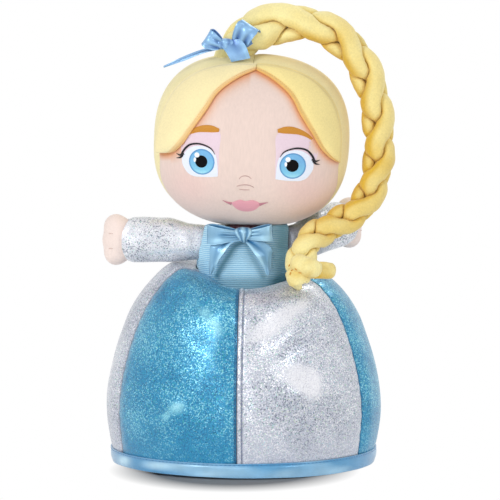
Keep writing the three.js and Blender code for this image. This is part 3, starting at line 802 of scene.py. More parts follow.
def bodice_centre(up):
    """How far the middle of the leaning bodice lies to the doll's left, at a share of its height."""
    return lerp(-bodice_lean / 2, bodice_lean / 2, up)


def angle_to_seam(angle):
    turned = [abs(angle - seam) % full_turn for seam in seam_angles]
    return min(min(t, full_turn - t) for t in turned)


def skirt_point(angle, along, inset=0.0):
    """A place on the skirt at an angle round it and a share of its line, set in or out from the cloth."""
    on = skirt_line.at(along)
    way = skirt_line.way(along)
    radius = on.x - inset * way.y
    height = on.y + inset * way.x
    waist = math.hypot(*oval(waist_half_width, waist_half_depth, 2, angle))
    squeeze = lerp(1, waist / waist_half_width, smoothstep(along, 0.7, 1))
    nearest = angle_to_seam(angle) * on.x
    fade = smoothstep(along, 0, 0.12) * (1 - smoothstep(along, 0.72, 0.98))
    pinch = seam_depth * fade * math.exp(-(nearest / seam_width) ** 2)
    reach = (radius - pinch) * squeeze
    shift = bodice_centre(0) * smoothstep(along, 0.7, 1)
    drop = waist_dip(angle) * smoothstep(along, 0.55, 1) + waist_point(angle) * smoothstep(along, 0.6, 0.88)
    return Vector((reach * math.cos(angle) + shift, reach * math.sin(angle), height - drop))


def skirt_along(height, low=0.0, high=0.6):
    """The share of the skirt's line at which it reaches a height."""
    return close_in(low, high, 30, lambda along: skirt_line.at(along).y < height)


def skirt_spot(angle, along):
    """A place on the plain round skirt, before its waist, seams and dents, for patterns to be read at."""
    on = skirt_line.at(along)
    return Vector((on.x * math.cos(angle), on.x * math.sin(angle), on.y))


def beside_seams(index, angle, along):
    """How far a place on a gore lies round from the seam before it and from the seam after it."""
    radius = skirt_line.at(along).x
    return max(angle - seam_angles[index], 0) * radius, max(seam_angles[index + 1] - angle, 0) * radius


# Painted highlights on the foil of the front gores: x, height, half length and half width in mm,
# lean in degrees and how much
front_painted_highlights = {
    0: [(21, 100.5, 27, 6.8, 30, 1), (35, 66, 14, 8.5, -12, 1), (44, 58, 7, 9, 0, 0.8)],
    5: [(-21, 101, 19, 5.5, -45, 0.62), (-42.5, 46, 7, 5, 20, 0.8), (-49.5, 39, 4, 3, 20, 0.7)],
}

# Where the stuffing stands out under the front gores: x, height, half length and half width in mm,
# lean in degrees and how far in mm
front_swells = {
    0: [(19, 111, 25, 8, 32, 2.4), (29, 92, 25, 8, 32, -2.2), (38, 53, 18, 9, -8, 2.6),
        (36, 74, 22, 8, -8, -1.2)],
    5: [(-13, 112, 15, 7, -42, 1.5), (-27, 95, 16, 8, -42, -1.0), (-46, 43, 7, 6, 30, 2.2),
        (-52, 34, 6, 5, 20, 1.4)],
}


def patches(listed, x, z):
    """How strong the soft oval patches of a list are at a place."""
    total = 0.0
    for across, up, long, wide, lean, strength in listed:
        c, s = math.cos(math.radians(lean)), math.sin(math.radians(lean))
        dx, dz = x - across * mm, z - up * mm
        run, rise = (dx * c + dz * s) / (long * mm), (dz * c - dx * s) / (wide * mm)
        total += strength * math.exp(-run * run - rise * rise)
    return total


def gore_relief(index, angle, along):
    """How far the cloth of a gore stands out: sharp seams, small puckers beside them and soft dents."""
    left, right = beside_seams(index, angle, along)
    nearest = min(left, right)
    side = 0 if left < right else 1
    spot = skirt_spot(angle, along)
    crease = -0.9 * mm * math.exp(-nearest / (1.3 * mm))
    pucker = math.sin(full_turn * spot.z / (8.5 * mm) + 3 * rough(Vector((spot.z, side, index)), 20 * mm))
    pucker *= 0.3 * mm * math.exp(-nearest / (7 * mm)) * (1 - math.exp(-nearest / (1 * mm)))
    dents = 0.8 * mm * rough(spot, 42 * mm, 3) + 0.35 * mm * rough(spot, 16 * mm, 7)
    dents *= smoothstep(along, 0, 0.1) * smoothstep(nearest, 0, 14 * mm)
    dents += mm * patches(front_swells.get(index, []), spot.x, spot.z) * smoothstep(nearest, 0, 5 * mm)
    felled = 0.0
    if index == 0:
        felled = 0.5 * mm * (1 - smoothstep(left, felled_width - 0.8 * mm, felled_width))
        felled -= 0.7 * mm * math.exp(-((left - felled_width) / (0.6 * mm)) ** 2)
    return crease + pucker + dents + felled


def seam_shade(index, angle, along):
    """Painted shade above 0 where the cloth turns in at a seam or under a row of stitches, painted highlight
    below 0.
    """
    left, right = beside_seams(index, angle, along)
    shade = 0.9 * math.exp(-(min(left, right) / (0.8 * mm)) ** 2)
    if index == 0:
        shade += 0.7 * math.exp(-((left - felled_width) / (0.5 * mm)) ** 2)
    if index == 5:
        shade += 0.8 * math.exp(-((right - topstitch_inset) / (0.9 * mm)) ** 2)
    spot = skirt_spot(angle, along)
    # Painted highlights on the listed patches of the front gores, broken up a little and kept off the seams.
    lit = 1.15 * patches(front_painted_highlights.get(index, []), spot.x, spot.z) + 0.25 * rough(spot, 7 * mm, 4)
    return clamp(shade) - smoothstep(lit, 0.22, 0.95) * smoothstep(min(left, right), 1 * mm, 4 * mm)


gore_foot = skirt_along(7.5 * mm)


def gore(index, name):
    """A gore of the skirt, between two seams, with its foot tucked in under the hem."""
    start, end = seam_angles[index], seam_angles[index + 1]

    def place(across, up):
        eased = across - 0.11 * math.sin(full_turn * across)
        along = lerp(gore_foot, 1, up)
        gap = seam_gap / skirt_line.at(along).x
        angle = lerp(start + gap, end - gap, eased)
        tucked = 0.7 * mm * (1 - smoothstep(up, 0, 0.05))
        point = skirt_point(angle, along, tucked - gore_relief(index, angle, along))
        return point, seam_shade(index, angle, along)

    piece = cloth("gore_" + name, 120, 110, place)
    make_cloth(piece)
    blue = name.endswith("blue")
    material = blue_glitter if blue else silver_glitter
    hidden = ["skirt_filling"] if index == 0 else []
    slot = "glitter_blue" if blue else "glitter_silver"
    dress(piece, material, "torso", "skirt_gore_" + name, *hidden, slot=slot)


for gore_index, gore_name in enumerate(gore_names):
    gore(gore_index, gore_name)


def front_seam_stitches(name, offset, index, material, slot):
    """A row of topstitching beside the front centre seam, at a distance round from it."""
    seam = seam_angles[0] if offset > 0 else seam_angles[6]

    def on_gore(angle, along):
        return skirt_point(angle, along, -gore_relief(index, angle, along) + 0.1 * mm)

    spots = []
    height = 13 * mm
    while height < 121 * mm:
        along = skirt_along(height) if height < 75 * mm else skirt_along(height, 0.3, 0.85)
        angle = seam + offset / skirt_line.at(along).x
        here = on_gore(angle, along)
        above = on_gore(angle, along + 0.004)
        out = Vector((math.cos(angle), math.sin(angle), 0.2)).normalized()
        spots.append((here, (above - here).normalized(), out))
        height += front_stitch_pitch
    row = stitches(name, spots, 2.0 * mm, 0.5 * mm)
    dress(row, material, "torso", slot=slot)


front_seam_stitches("seam_stitches_silver", felled_width, 0, silver_thread, "glitter_silver")
front_seam_stitches("seam_stitches_blue", -topstitch_inset, 5, dark_blue_thread, "glitter_blue")


# Hem: a band of satin ribbon that turns under the edge of the base


def outward(angle):
    """The level way out from the doll's middle at an angle round it."""
    return Vector((math.cos(angle), math.sin(angle), 0))


def hem_point(angle, up):
    """The ribbon from its turned-in lower edge (0) to its sewn upper edge (1), creased and a little baggy."""
    spot = outward(angle) * hem_radius
    raised = 0.9 * mm * (0.5 + 0.5 * math.cos(2 * (angle - math.radians(225))))
    lift = 0.3 * mm + raised + 0.3 * mm * rough(spot, 20 * mm, 5)
    share = smoothstep(up, 0.16, 1) * 0.5 + 0.5 * clamp((up - 0.16) / 0.84)
    height = lerp(lift, hem_height + 0.2 * mm, share)
    creases = 0.8 * mm * rough(spot * 0.55 + Vector((0, 0, height * 1.6)), 17 * mm, 2)
    creases *= smoothstep(up, 0.1, 0.5) * (1 - smoothstep(up, 0.7, 0.9))
    pocket = 0.45 * mm * math.sin(math.pi * clamp((up - 0.15) / 0.7))
    stitched = 0.3 * mm * math.exp(-((height - 8.7 * mm) / (0.6 * mm)) ** 2)
    turned_in = 5 * mm * (1 - smoothstep(up, 0, 0.2)) ** 2
    reach = skirt_line.at(skirt_along(height)).x + 0.45 * mm
    reach += max(creases, -0.4 * mm) + pocket - stitched - turned_in
    return outward(angle) * reach + Vector((0, 0, height))


# Painted highlights on the ribbon in front: angle and half width in degrees, share of its height
# and how much
hem_painted_highlights = [
    (-154, 6, 0.6, 1), (-131, 10, 0.6, 1), (-106, 8, 0.35, 0.6), (-72, 5, 0.45, 0.3), (-42, 9, 0.4, 0.45),
]


def hem_shade(angle, up):
    """Painted shade and highlight: the satin is darker in soft patches and along its sewn edge, and paler
    where listed in front.
    """
    spot = outward(angle) * hem_radius
    leaning = 13 * mm * up + 2 * mm * math.sin(5 * angle)
    painted_shade_and_highlight = 0.78 - 0.8 * rough(spot * 0.32 + Vector((0, 0, leaning)), 11 * mm, 2)
    for middle, reach, at, strength in hem_painted_highlights:
        along = (math.degrees(angle) - 360 - middle) / reach - 1.2 * (up - at)
        painted_shade_and_highlight -= strength * math.exp(-along * along - ((up - at) / 0.24) ** 2)
    return clamp(clamp(painted_shade_and_highlight, 0, 0.9) + 0.35 * math.exp(-((up - 0.88) / 0.04) ** 2))


def hem():
    def place(across, up):
        return hem_point(across * full_turn, up), hem_shade(across * full_turn, up)

    piece = cloth("hem_ribbon", 420, 22, place)
    merge(piece)
    thicken(piece, hem_thickness)
    smooth(piece, 60)
    dress(piece, ribbon_satin, "torso", "hem_binding", slot="satin_ribbon")


hem()


def hem_stitches():
    """The row of stitches along the ribbon's upper edge."""
    spots = []
    for i in range(hem_stitch_count):
        angle = full_turn * i / hem_stitch_count
        up = 0.885 + 0.01 * rough(Vector((i, 0, 0)), 3)
        here = hem_point(angle, up)
        ahead = hem_point(angle + 0.01, up)
        spots.append((here - outward(angle) * 0.05 * mm, (ahead - here).normalized(), outward(angle)))
    row = stitches("hem_stitches", spots, 1.9 * mm, 0.45 * mm)
    dress(row, blue_thread, "torso", slot="satin_ribbon")


hem_stitches()


def base():
    """The round felt base, a shallow cushion with a sewn ring near its rim."""

    def place(across, up):
        share = math.sin(math.pi / 2 * (1 - abs(2 * up - 1)))
        radius = base_rim * share
        spot = outward(across * full_turn) * radius
        flat = smoothstep(base_rim - radius, 0, 0.8 * mm)
        sewn = math.exp(-((radius - base_ring) / (2 * mm)) ** 2)
        dome = 0.3 * mm * (1 - share * share) + 0.15 * mm * rough(spot, 15 * mm)
        low = 0.5 * mm + 0.5 * mm * sewn + max(dome, 0)
        height = lerp(1.5 * mm, low if up < 0.5 else base_top, flat)
        return spot + Vector((0, 0, height))

    piece = cloth("base_felt", 120, 64, place, closed=True)
    smooth(piece, 50)
    dress(piece, base_cloth, "torso", "base_panel", "pellet_bag", slot="base_felt")


base()


# Bodice


def shoulder(side):
    """The middle of an armhole, seen from above: side is -1 for the doll's right arm and 1 for its left."""
    return Vector((bodice_centre(1) + side * (bodice_half_width + shoulder_offset), 0, 0))


def clear_of_sleeves(point):
    """Keeps a point of the bodice within the shoulders and out of the round root of the sleeve beside it."""
    for side in (-1, 1):
        beyond = side * (point.x - shoulder(side).x) + 0.5 * mm
        if beyond > 0:
            point = point - Vector((side * beyond * smoothstep(point.z, 129 * mm, 136 * mm), 0, 0))
        away = point - shoulder(side)
        away.z = 0
        away.x = side * min(side * away.x, 0)
        room = 9.2 * mm * smoothstep(point.z, 127 * mm, 133 * mm)
        if 0 < away.length < room:
            point = point + away.normalized() * (room - away.length)
    return point


def bodice_point(angle, up):
    """From the waist seam (0), up the side, over the rolled edge and in to the collar (1)."""
    upright = clamp(up / 0.7)
    roll = clamp((up - 0.7) / 0.15) * math.pi / 2
    flat = clamp((up - 0.85) / 0.15)
    inset = bodice_edge * (1 - math.cos(roll)) + flat * (bodice_half_depth - collar_radius - bodice_edge)
    half_width = lerp(waist_half_width, bodice_half_width, upright) - inset
    half_depth = lerp(waist_half_depth, bodice_half_depth, upright) - inset
    boxy = 0.9 * smoothstep(-math.sin(angle), 0, 0.2)
    x, y = oval(half_width, half_depth, lerp(2, 2.1 + boxy, smoothstep(upright, 0, 0.5)), angle)
    foot = waist_height - 0.6 * mm - waist_dip(angle) - waist_point(angle)
    height = lerp(foot, bodice_top - bodice_edge, upright) + bodice_edge * math.sin(roll)
    in_front = smoothstep(-math.sin(angle), -0.2, 0.3)
    in_front *= lerp(0.15, 1, smoothstep(abs(x), 8 * mm, 15 * mm))
    in_front *= lerp(1, 0.75, smoothstep(-x, 10 * mm, 20 * mm))
    height += bodice_rim_rise * in_front * smoothstep(up, 0.3, 0.8) * (1 - smoothstep(flat, 0.1, 0.8))
    x *= 1 + 0.08 * smoothstep(-y, 5 * mm, 12 * mm)
    crease = 0.35 * mm * rough(Vector((x, y, height * 1.6)), 14 * mm, 9) * (1 - flat)
    tuck = -1.0 * mm * math.exp(-upright / 0.04) if roll == 0 else 0
    swell = 1 + (crease + tuck) / math.hypot(x, y)
    return clear_of_sleeves(Vector((x * swell + bodice_centre(upright), y * swell, height)))


# Painted shadows on the bodice along the inner edges of the bow's tails: x and height, in mm
under_right_tail = SmoothLine([(-0.5, 146.5), (-5.5, 143.5), (-9, 138.5), (-13.5, 131.5), (-17.5, 124.5)], mm)
under_left_tail = SmoothLine([(0.5, 146.5), (3, 142), (5.8, 136.5), (9.6, 130), (12.6, 124)], mm)
tail_shadows = [(under_right_tail.at(i / 40), 0.85) for i in range(41)]
tail_shadows += [(under_left_tail.at(i / 40), 0.5) for i in range(41)]


def bodice_shade(point):
    """Painted shade on the front of the bodice: beside the left sleeve, under the bow's tails and at the
    waist seam.
    """
    under = 0.0
    for edge, deep in tail_shadows:
        away = math.hypot(point.x - edge.x, point.z - edge.y)
        under = max(under, deep * math.exp(-(away / (2 * mm)) ** 2))
    beside = 0.8 * smoothstep(point.x, 13 * mm, 26 * mm)
    waist = 0.5 * (1 - smoothstep(point.z, waist_height - 9 * mm, waist_height - 3 * mm))
    return clamp(max(beside, under) + waist) if point.y < 0 else 0.0


def bodice(name, start, material, slot, *nodes):
    """Half of the bodice, from a side seam at one angle to the other side seam."""
    gap = seam_gap / bodice_half_depth

    def place(across, up):
        point = bodice_point(lerp(start + gap, start + math.pi - gap, across), up)
        return point, bodice_shade(point)

    piece = cloth(name, 110, 60, place)
    make_cloth(piece)
    dress(piece, material, "torso", *nodes, slot=slot)


right_side = first_seam - math.pi / 2
left_side = first_seam + math.pi / 2
bodice("bodice_front_ribbed", right_side, bodice_grosgrain, "grosgrain", "bodice_front", "torso_filling")
bodice("bodice_back_silver", left_side, silver_glitter, "glitter_silver", "bodice_back")


def collar():
    """The neck: a short stuffed stump of dark pink cloth, gathered in fine upright folds."""
    side_share = 0.6

    def place(across, up):
        angle = across * full_turn
        if up < side_share:
            radius = neck_radius
            height = lerp(neck_foot, neck_foot + neck_height - neck_dome, up / side_share)
        else:
            outer = (1 - up) / (1 - side_share)
            radius = neck_radius * outer
            height = neck_foot + neck_height - neck_dome * outer ** 2
        folds = 0.3 * mm * math.sin(34 * angle + 2 * math.sin(5 * angle)) * smoothstep(radius, 0, neck_radius)
        radius = max(radius + folds - 0.3 * mm, 0)
        return outward(angle) * radius + Vector((neck_x, 0, height))

    piece = cloth("collar", 220, 22, place, closed=True)
    smooth(piece, 60)
    dress(piece, collar_cloth, "neck", "neck", slot="collar_cloth")


collar()


# Head


def head_outline(x, z):
    """Below 1 inside the head's outline, seen from the front in its own frame."""
    across = abs(x / head_half_width) ** head_squareness
    upward = abs(z / head_half_height) ** head_squareness
    return (across + upward) ** (head_roundness / head_squareness)


def head_reach(way):
    """How far the head's surface lies from its middle, along a way."""
    forward = abs(way.y / head_half_depth) ** head_roundness
    return (head_outline(way.x, way.z) + forward) ** (-1 / head_roundness)


def head_front(x, z, lift=0.0):
    """The place on the front of the head that lies behind a point seen from the front, in its own frame."""
    y = -head_half_depth * max(0.0, 1 - head_outline(x, z)) ** (1 / head_roundness)
    point = Vector((x, y, z))
    return point + head_out(point) * lift


def head_out(point):
    """The way out of the head's surface at a point, in its own frame."""
    x, y, z = point
    across = abs(x / head_half_width) ** head_squareness
    upward = abs(z / head_half_height) ** head_squareness
    outer = max(across + upward, 1e-9) ** (head_roundness / head_squareness - 1) * head_roundness
    slope = Vector((
        outer * math.copysign(abs(x) ** (head_squareness - 1), x) / head_half_width ** head_squareness,
        head_roundness * math.copysign(abs(y) ** (head_roundness - 1), y) / head_half_depth ** head_roundness,
        outer * math.copysign(abs(z) ** (head_squareness - 1), z) / head_half_height ** head_squareness,
    ))
    return slope.normalized()


flap_edge = SmoothLine(flap_edge_points, mm)
flap_edge_samples = [flap_edge.at(i / 60) for i in range(61)]


def beside_hair(x, z):
    """How near a point of the face lies to the edge of the hair flaps, seen from the front."""
    across = abs(x - parting_x)
    return min(math.hypot(across - p.x, z - p.y) for p in flap_edge_samples)


def seam_swung(z):
    """How far the seam of the face swings forward at a height, below the middle of the head."""
    low = max(0.0, -8 * mm - z)
    return seam_swing * low * smoothstep(low, 0, 20 * mm)


def head_ball(name):
    """A ball of quads shaped to the head, its seams drawn in, marked for its blush and for the warm painted
    shadow of the hair.
    """
    piece = ball(name, 160, 110)
    blush, glow = [], []
    for vertex in piece.data.vertices:
        way = Vector((vertex.co.x, -vertex.co.z, vertex.co.y)).normalized()
        point = way * head_reach(way)
        from_seam = point.y + face_seam - seam_swung(point.z)
        seam = 0.9 * mm * math.exp(-(abs(from_seam) / (2.4 * mm)))
        back_seam = 0.8 * mm * math.exp(-(abs(point.x) / (2.2 * mm))) if from_seam > 0 else 0
        soft = 0.35 * mm * rough(point, 26 * mm, 4)
        from_cheek = math.hypot(abs(point.x) - cheek_x, point.z - cheek_z) / cheek_radius
        blush.append(math.exp(-from_cheek ** 2))
        # Painted shadow: the glow mark is a warm shade on the face beside the edges of the hair flaps, wider
        # on the doll's right.
        near = beside_hair(point.x, point.z) if point.y < 0 and point.z > -12 * mm else 1
        reach = hair_shadow_reach_right if point.x < 0 else hair_shadow_reach_left
        glow.append(clamp(0.95 * math.exp(-(near / reach) ** 1.6)))
        point -= head_out(point) * (seam + back_seam - soft)
        place = head_place @ point
        place.z = max(place.z, head_underside + chin_rise * smoothstep(-place.y, 4 * mm, 26 * mm))
        vertex.co = place
    mark(piece, "blush", blush)
    mark(piece, "glow", glow)
    return piece


def head_way(x, y, z):
    """A way in the head's own frame, as it points once the head is turned and tilted."""
    return (head_place.to_3x3() @ Vector((x, y, z))).normalized()


def swing(piece, side):
    """Draws the low part of a head piece forward (1) or back (-1), so that a flat cut follows the seam."""
    back = head_place.inverted()
    for vertex in piece.data.vertices:
        point = back @ vertex.co
        point.y += side * seam_swung(point.z)
        vertex.co = head_place @ point


def cut_at_face_seam(piece, side):
    """Keeps what lies in front of the seam of the face (1) or behind it (-1)."""
    swing(piece, -1)
    cut(piece, head_place @ Vector((0, -face_seam - side * seam_gap, 0)), head_way(0, side, 0))
    swing(piece, 1)


def face():
    piece = head_ball("face")
    cut_at_face_seam(piece, 1)
    make_cloth(piece)
    dress(piece, face_cloth, "head", "face_panel", "head_filling", slot="face_fleece")


def back_of_head(side, name, node):
    piece = head_ball(name)
    cut_at_face_seam(piece, -1)
    cut(piece, head_place @ Vector((side * seam_gap, 0, 0)), head_way(-side, 0, 0))
    make_cloth(piece)
    dress(piece, back_hair_cloth, "head", node, slot="hair_fleece")


face()
back_of_head(-1, "back_hair_right", "hair_back_right")
back_of_head(1, "back_hair_left", "hair_back_left")


def seam_outline(angle):
    """Where the seam of the face lies, seen from the front, at an angle from the middle."""
    share = (1 - (face_seam / head_half_depth) ** head_roundness) ** (1 / head_roundness)
    return oval(head_half_width * share, head_half_height * share, head_squareness, angle)


def flap_rows():
    """Sections of a flap: under it from the seam to its edge, round its lip, and back over it."""
    rows = [("under", 1 - i / 8) for i in range(8)]
    rows += [("lip", math.radians(-90 + 30 * i)) for i in range(7)]
    rows += [("over", (i / 30) ** 1.25) for i in range(1, 31)]
    return rows


def flap_end(side):
    """The share of the flap's edge at which it runs out under the seam of the face."""
    end = 0.0
    while end < 1:
        p = flap_edge.at(end)
        x = side * p.x + parting_x
        if math.hypot(x, p.y) > math.hypot(*seam_outline(math.atan2(p.y, x))) - 0.6 * mm:
            break
        end += 0.005
    return end


def mirrored(side, p):
    """A place of the flap's edge on the doll's right (-1) or left (1) of the parting."""
    return side * (p.x - parting_x) + 2 * parting_x, p.y


def flap_section(x, z, behind=0.0):
    """Where a flap has its edge, where it meets the seam of the face, and how wide it is there."""
    edge = head_front(x, z)
    seam_x, seam_z = seam_outline(math.atan2(z, x))
    seam = Vector((seam_x, -face_seam - behind, seam_z))
    return edge, seam, edge.angle(seam) * edge.length


def flap_body(side, p, gone, width, lip):
    """How far the flap stands out: low in its stitched groove, full behind it and flat again at the seam."""
    rim = 2 * lip + flap_clearance - 0.65 * mm * math.exp(-((gone - flap_groove) / (0.7 * mm)) ** 2)
    behind = gone - 2.2 * mm
    crown = flap_swell * rounded(behind / (9 * mm))
    body = max(rim, lerp(rim, crown, clamp(behind / (4 * mm))), 0)
    if side < 0:
        body += 3 * mm * math.exp(-((p.y + 1 * mm) / (9 * mm)) ** 2) * smoothstep(gone, 0, 3 * mm)
    return max(flap_clearance, body * smoothstep(width - gone, 0, 7 * mm))


def flap_shade(kind, part, gone):
    """Painted shade: the pile is darker under the lip, round the rolled rim and in the stitched groove."""
    if kind == "under":
        return 0.9 * (1 - smoothstep(part, 0.3, 0.8))
    if kind == "lip":
        return lerp(0.95, 0.6, 0.5 + 0.5 * math.sin(part))
    rim = 0.6 * math.exp(-(gone / (2.1 * mm)) ** 4)
    return clamp(rim + 0.4 * math.exp(-((gone - flap_groove) / (0.55 * mm)) ** 2))


def flap(side, name, node):
    """A stuffed flap of hair, from its stitched edge back to the seam of the face."""
    rows = flap_rows()
    end = flap_end(side)

    def place(across, up):
        kind, part = rows[round(up * (len(rows) - 1))]
        eased = lerp(across, across ** 1.3, 0.5)
        p = flap_edge.at(eased * end)
        x, z = mirrored(side, p)
        x += side * parting_gap
        z -= side * flap_end_drop * smoothstep(p.x, 50 * mm, 64 * mm)
        edge, seam, width = flap_section(x, z, 0.2 * mm)
        lip = min(flap_lip, width / 8)
        if kind == "lip":
            gone = lip - lip * math.cos(part)
            lift = flap_clearance + lip * (1 + math.sin(part))
        else:
            gone = lip + part * (width - lip)
            lift = flap_clearance if kind == "under" else flap_body(side, p, gone, width, lip)
        from_ends = min(eased * end * 1.6 * flap_edge.lengths[-1], (1 - across) * 60 * mm)
        rolled = rounded(from_ends / (1.5 * mm))
        lift = flap_clearance + (lift - flap_clearance) * rolled
        point = edge.normalized().slerp(seam.normalized(), clamp(gone / width))
        point *= head_reach(point)
        if kind == "over":
            lift += 0.3 * mm * rough(point, 18 * mm, 6) * smoothstep(gone, 2 * mm, 9 * mm) * rolled
        return head_place @ (point + head_out(point) * lift), flap_shade(kind, part, gone)

    piece = cloth(name, 110, len(rows) - 1, place, closed=True)
    smooth(piece, 70)
    # Painted light: the flap on the doll's right gets the paler copy of the velour.
    dress(piece, lit_side_hair_cloth if side < 0 else hair_cloth, "head", node, slot="hair_fleece")
    flap_stitches(side, name, end)


def flap_stitches(side, name, end):
    """The row of stitches in the groove beside a flap's edge."""
    places = []
    for i in range(3, 58):
        edge, seam, width = flap_section(*mirrored(side, flap_edge.at(end * i / 60)))
        if width < 8 * mm:
            continue
        point = edge.normalized().slerp(seam.normalized(), flap_groove / width)
        point *= head_reach(point)
        out = head_out(point)
        places.append((head_place @ (point + out * 0.95 * mm), head_place.to_3x3() @ out))
    spots = []
    for (here, out), (ahead, _) in zip(places, places[1:]):
        spots.append((here, (ahead - here).normalized(), out))
    row = stitches(name + "_stitches", spots, 1.1 * mm, 0.4 * mm)
    dress(row, gold_thread, "head", slot="hair_fleece")


flap(-1, "hair_flap_right_soft", "hair_flap_right")
flap(1, "hair_flap_left_soft", "hair_flap_left")


# Face: thin patches and strokes laid on the velour


def on_face(x, z, lift):
    return head_place @ head_front(x * mm, z * mm, lift * mm)


def lay_on_face(piece, tested, material):
    """Finishes a patch on the face, turned over first where its tested polygon looks into the head."""
    if piece.data.polygons[tested].normal @ head_way(0, -1, 0) < 0:
        edit(piece, bpy.ops.mesh.flip_normals)
    thicken(piece, thread_thickness)
    smooth(piece, 60)
    dress(piece, material, "head", slot="face_fleece")


def patch(name, outline, lift, material, centre=None, dome=0.0, marks=False, rings=8):
    """A thin patch on the face inside an outline of (x, z) places, in millimetres."""
    line = SmoothLine([*outline, outline[0]])
    middle = sum((line.at(i / 50) for i in range(50)), Vector()) / 50
    if centre:
        middle = Vector((*centre, 0))
    sides = max(32, 4 * len(outline))
    height = max(abs(p[1] - middle.y) for p in outline)

    def spot(across, up):
        edge = line.at(across)
        return middle + (edge - middle) * up

    def place(across, up):
        here = spot(across, up)
        return on_face(here.x, here.y, lift + dome * (1 - up ** 4))

    piece = cloth(name, sides, rings, place)
    if marks:
        down, rim = [], []
        for i in range(len(piece.data.vertices)):
            row, column = divmod(i, sides + 1)
            here = spot(column / sides, row / rings)
            down.append(clamp(0.5 - (here.y - middle.y) / height / 2))
            rim.append(row / rings)
        mark(piece, "down", down)
        mark(piece, "rim", rim)
    close(piece)
    lay_on_face(piece, 0, material)


def stroke(name, route, widths, lift, material, dome=0.25):
    """A stroke of stitching along a route of (x, z) places, as wide as the list of widths says."""
    line = SmoothLine(route)
    thick = SmoothLine([(w, 3 * i) for i, w in enumerate(widths)])
    flip = 1 if route[-1][0] > route[0][0] else -1

    def place(across, up):
        at = line.at(line.share_at(across))
        way = line.way(clamp(line.share_at(across), 0.01, 0.99))
        half = max(thick.at(across).x, 0.05) / 2
        offset = (up - 0.5) * 2 * flip
        at = at + Vector((-way.y, way.x, 0)) * half * offset
        return on_face(at.x, at.y, lift + dome * (1 - offset ** 2))

    piece = cloth(name, 40, 6, place)
    lay_on_face(piece, len(piece.data.polygons) // 2, material)


def round_outline(x, z, half_width, half_height=None, count=16):
    half_height = half_height or half_width
    turns = [full_turn * i / count for i in range(count)]
    return [(x + half_width * math.cos(turn), z + half_height * math.sin(turn)) for turn in turns]


# The eyes in millimetres: outlines and routes about the middle of an eye, and the brow about the head
eye_x = 29.4
eye_z = -10.1
eye_outline = [
    (-10.7, -8.9), (-10.5, -5), (-10.2, -1.1), (-8.9, 5.1), (-7.1, 7.1), (-4.4, 9.1), (-1.1, 10.1), (3, 10.3),
    (6.8, 9.2), (9.9, 7), (12.2, 3.8), (13.2, 0.3), (12.7, -2.8), (11.1, -5.7), (8.6, -8.5), (5.2, -9.9),
    (1, -10), (-3, -9.8), (-7, -9.4),
]
lid_outline = [
    (-10.9, -8), (-11, 0), (-11, 8), (-10.9, 20.4), (-2, 22.5), (6, 21.5), (13, 16), (15.5, 8), (13.5, 2),
    (6, 0), (0, -2), (-6, -5),
]
lash_strokes = [
    ("lash_", [(-8.4, 5.6), (-5.9, 9), (-1, 11.1), (3.6, 11.6), (8.6, 10.2), (12, 6.6), (14, 2.6)],
     [0.3, 0.8, 1, 1.1, 1.2, 1.3, 1.1], 0.4),
    ("lash_tip_", [(12, 4.4), (14.4, 2.9), (17, 3.7)], [1.6, 1.2, 0.2], 0.42),
    ("lash_low_tip_", [(12.6, 3.2), (14.3, 1.4), (16.9, 0.7)], [1.4, 1.1, 0.2], 0.42),
]
brow_route = [(18.9, 12.6), (20.5, 12.8), (26, 13.2), (32, 12.3), (37, 10.2), (41, 7.4)]
brow_widths = [2.2, 4.4, 4.6, 3.6, 2.6, 1.5]
right_brow_drop = 1.4


def eye(side, name):
    """An eye and its brow: lid, white, iris, pupil, two gleams and three lash strokes, one over the other."""
    def at(points):
        return [(side * (eye_x + x), eye_z + z) for x, z in points]

    x = side * eye_x
    inner = side * (eye_x + 1)
    patch("eyelid_" + name, at(lid_outline), 0.1, lid_cloth, centre=(inner, eye_z + 8))
    patch("eye_white_" + name, at(eye_outline), 0.22, eye_white, centre=(inner, eye_z))
    patch("iris_" + name, round_outline(x, eye_z, 8.4), 0.36, iris_colour, marks=True, rings=16)
    patch("pupil_" + name, round_outline(x - 0.3, eye_z + 0.2, 4), 0.5, pupil_black)
    patch("gleam_" + name, round_outline(x - 3.2, eye_z + 4.3, 1.6), 0.64, eye_gleam, rings=4)
    patch("small_gleam_" + name, round_outline(x - 4.5, eye_z + 1.1, 0.8, 1.5), 0.64, eye_gleam, rings=4)
    for kind, route, widths, lift in lash_strokes:
        stroke(kind + name, at(route), widths, lift, lash_black, 0.2)
    drop = right_brow_drop if side < 0 else 0
    stroke("brow_" + name, [(side * x, z - drop) for x, z in brow_route], brow_widths, 0.2, brow_thread, 0.35)


eye(-1, "right")
eye(1, "left")

lips_outline = [
    (-9.6, -36.4), (-7.2, -35.4), (-3.9, -34.1), (-0.4, -34.9), (3.9, -34), (7.4, -35), (9.2, -36.6),
    (7.6, -39.2), (4.6, -41.4), (0.2, -42.3), (-4.4, -41.6), (-7.6, -39.4),
]
patch("lips", lips_outline, 0.2, lip_thread, dome=0.3)

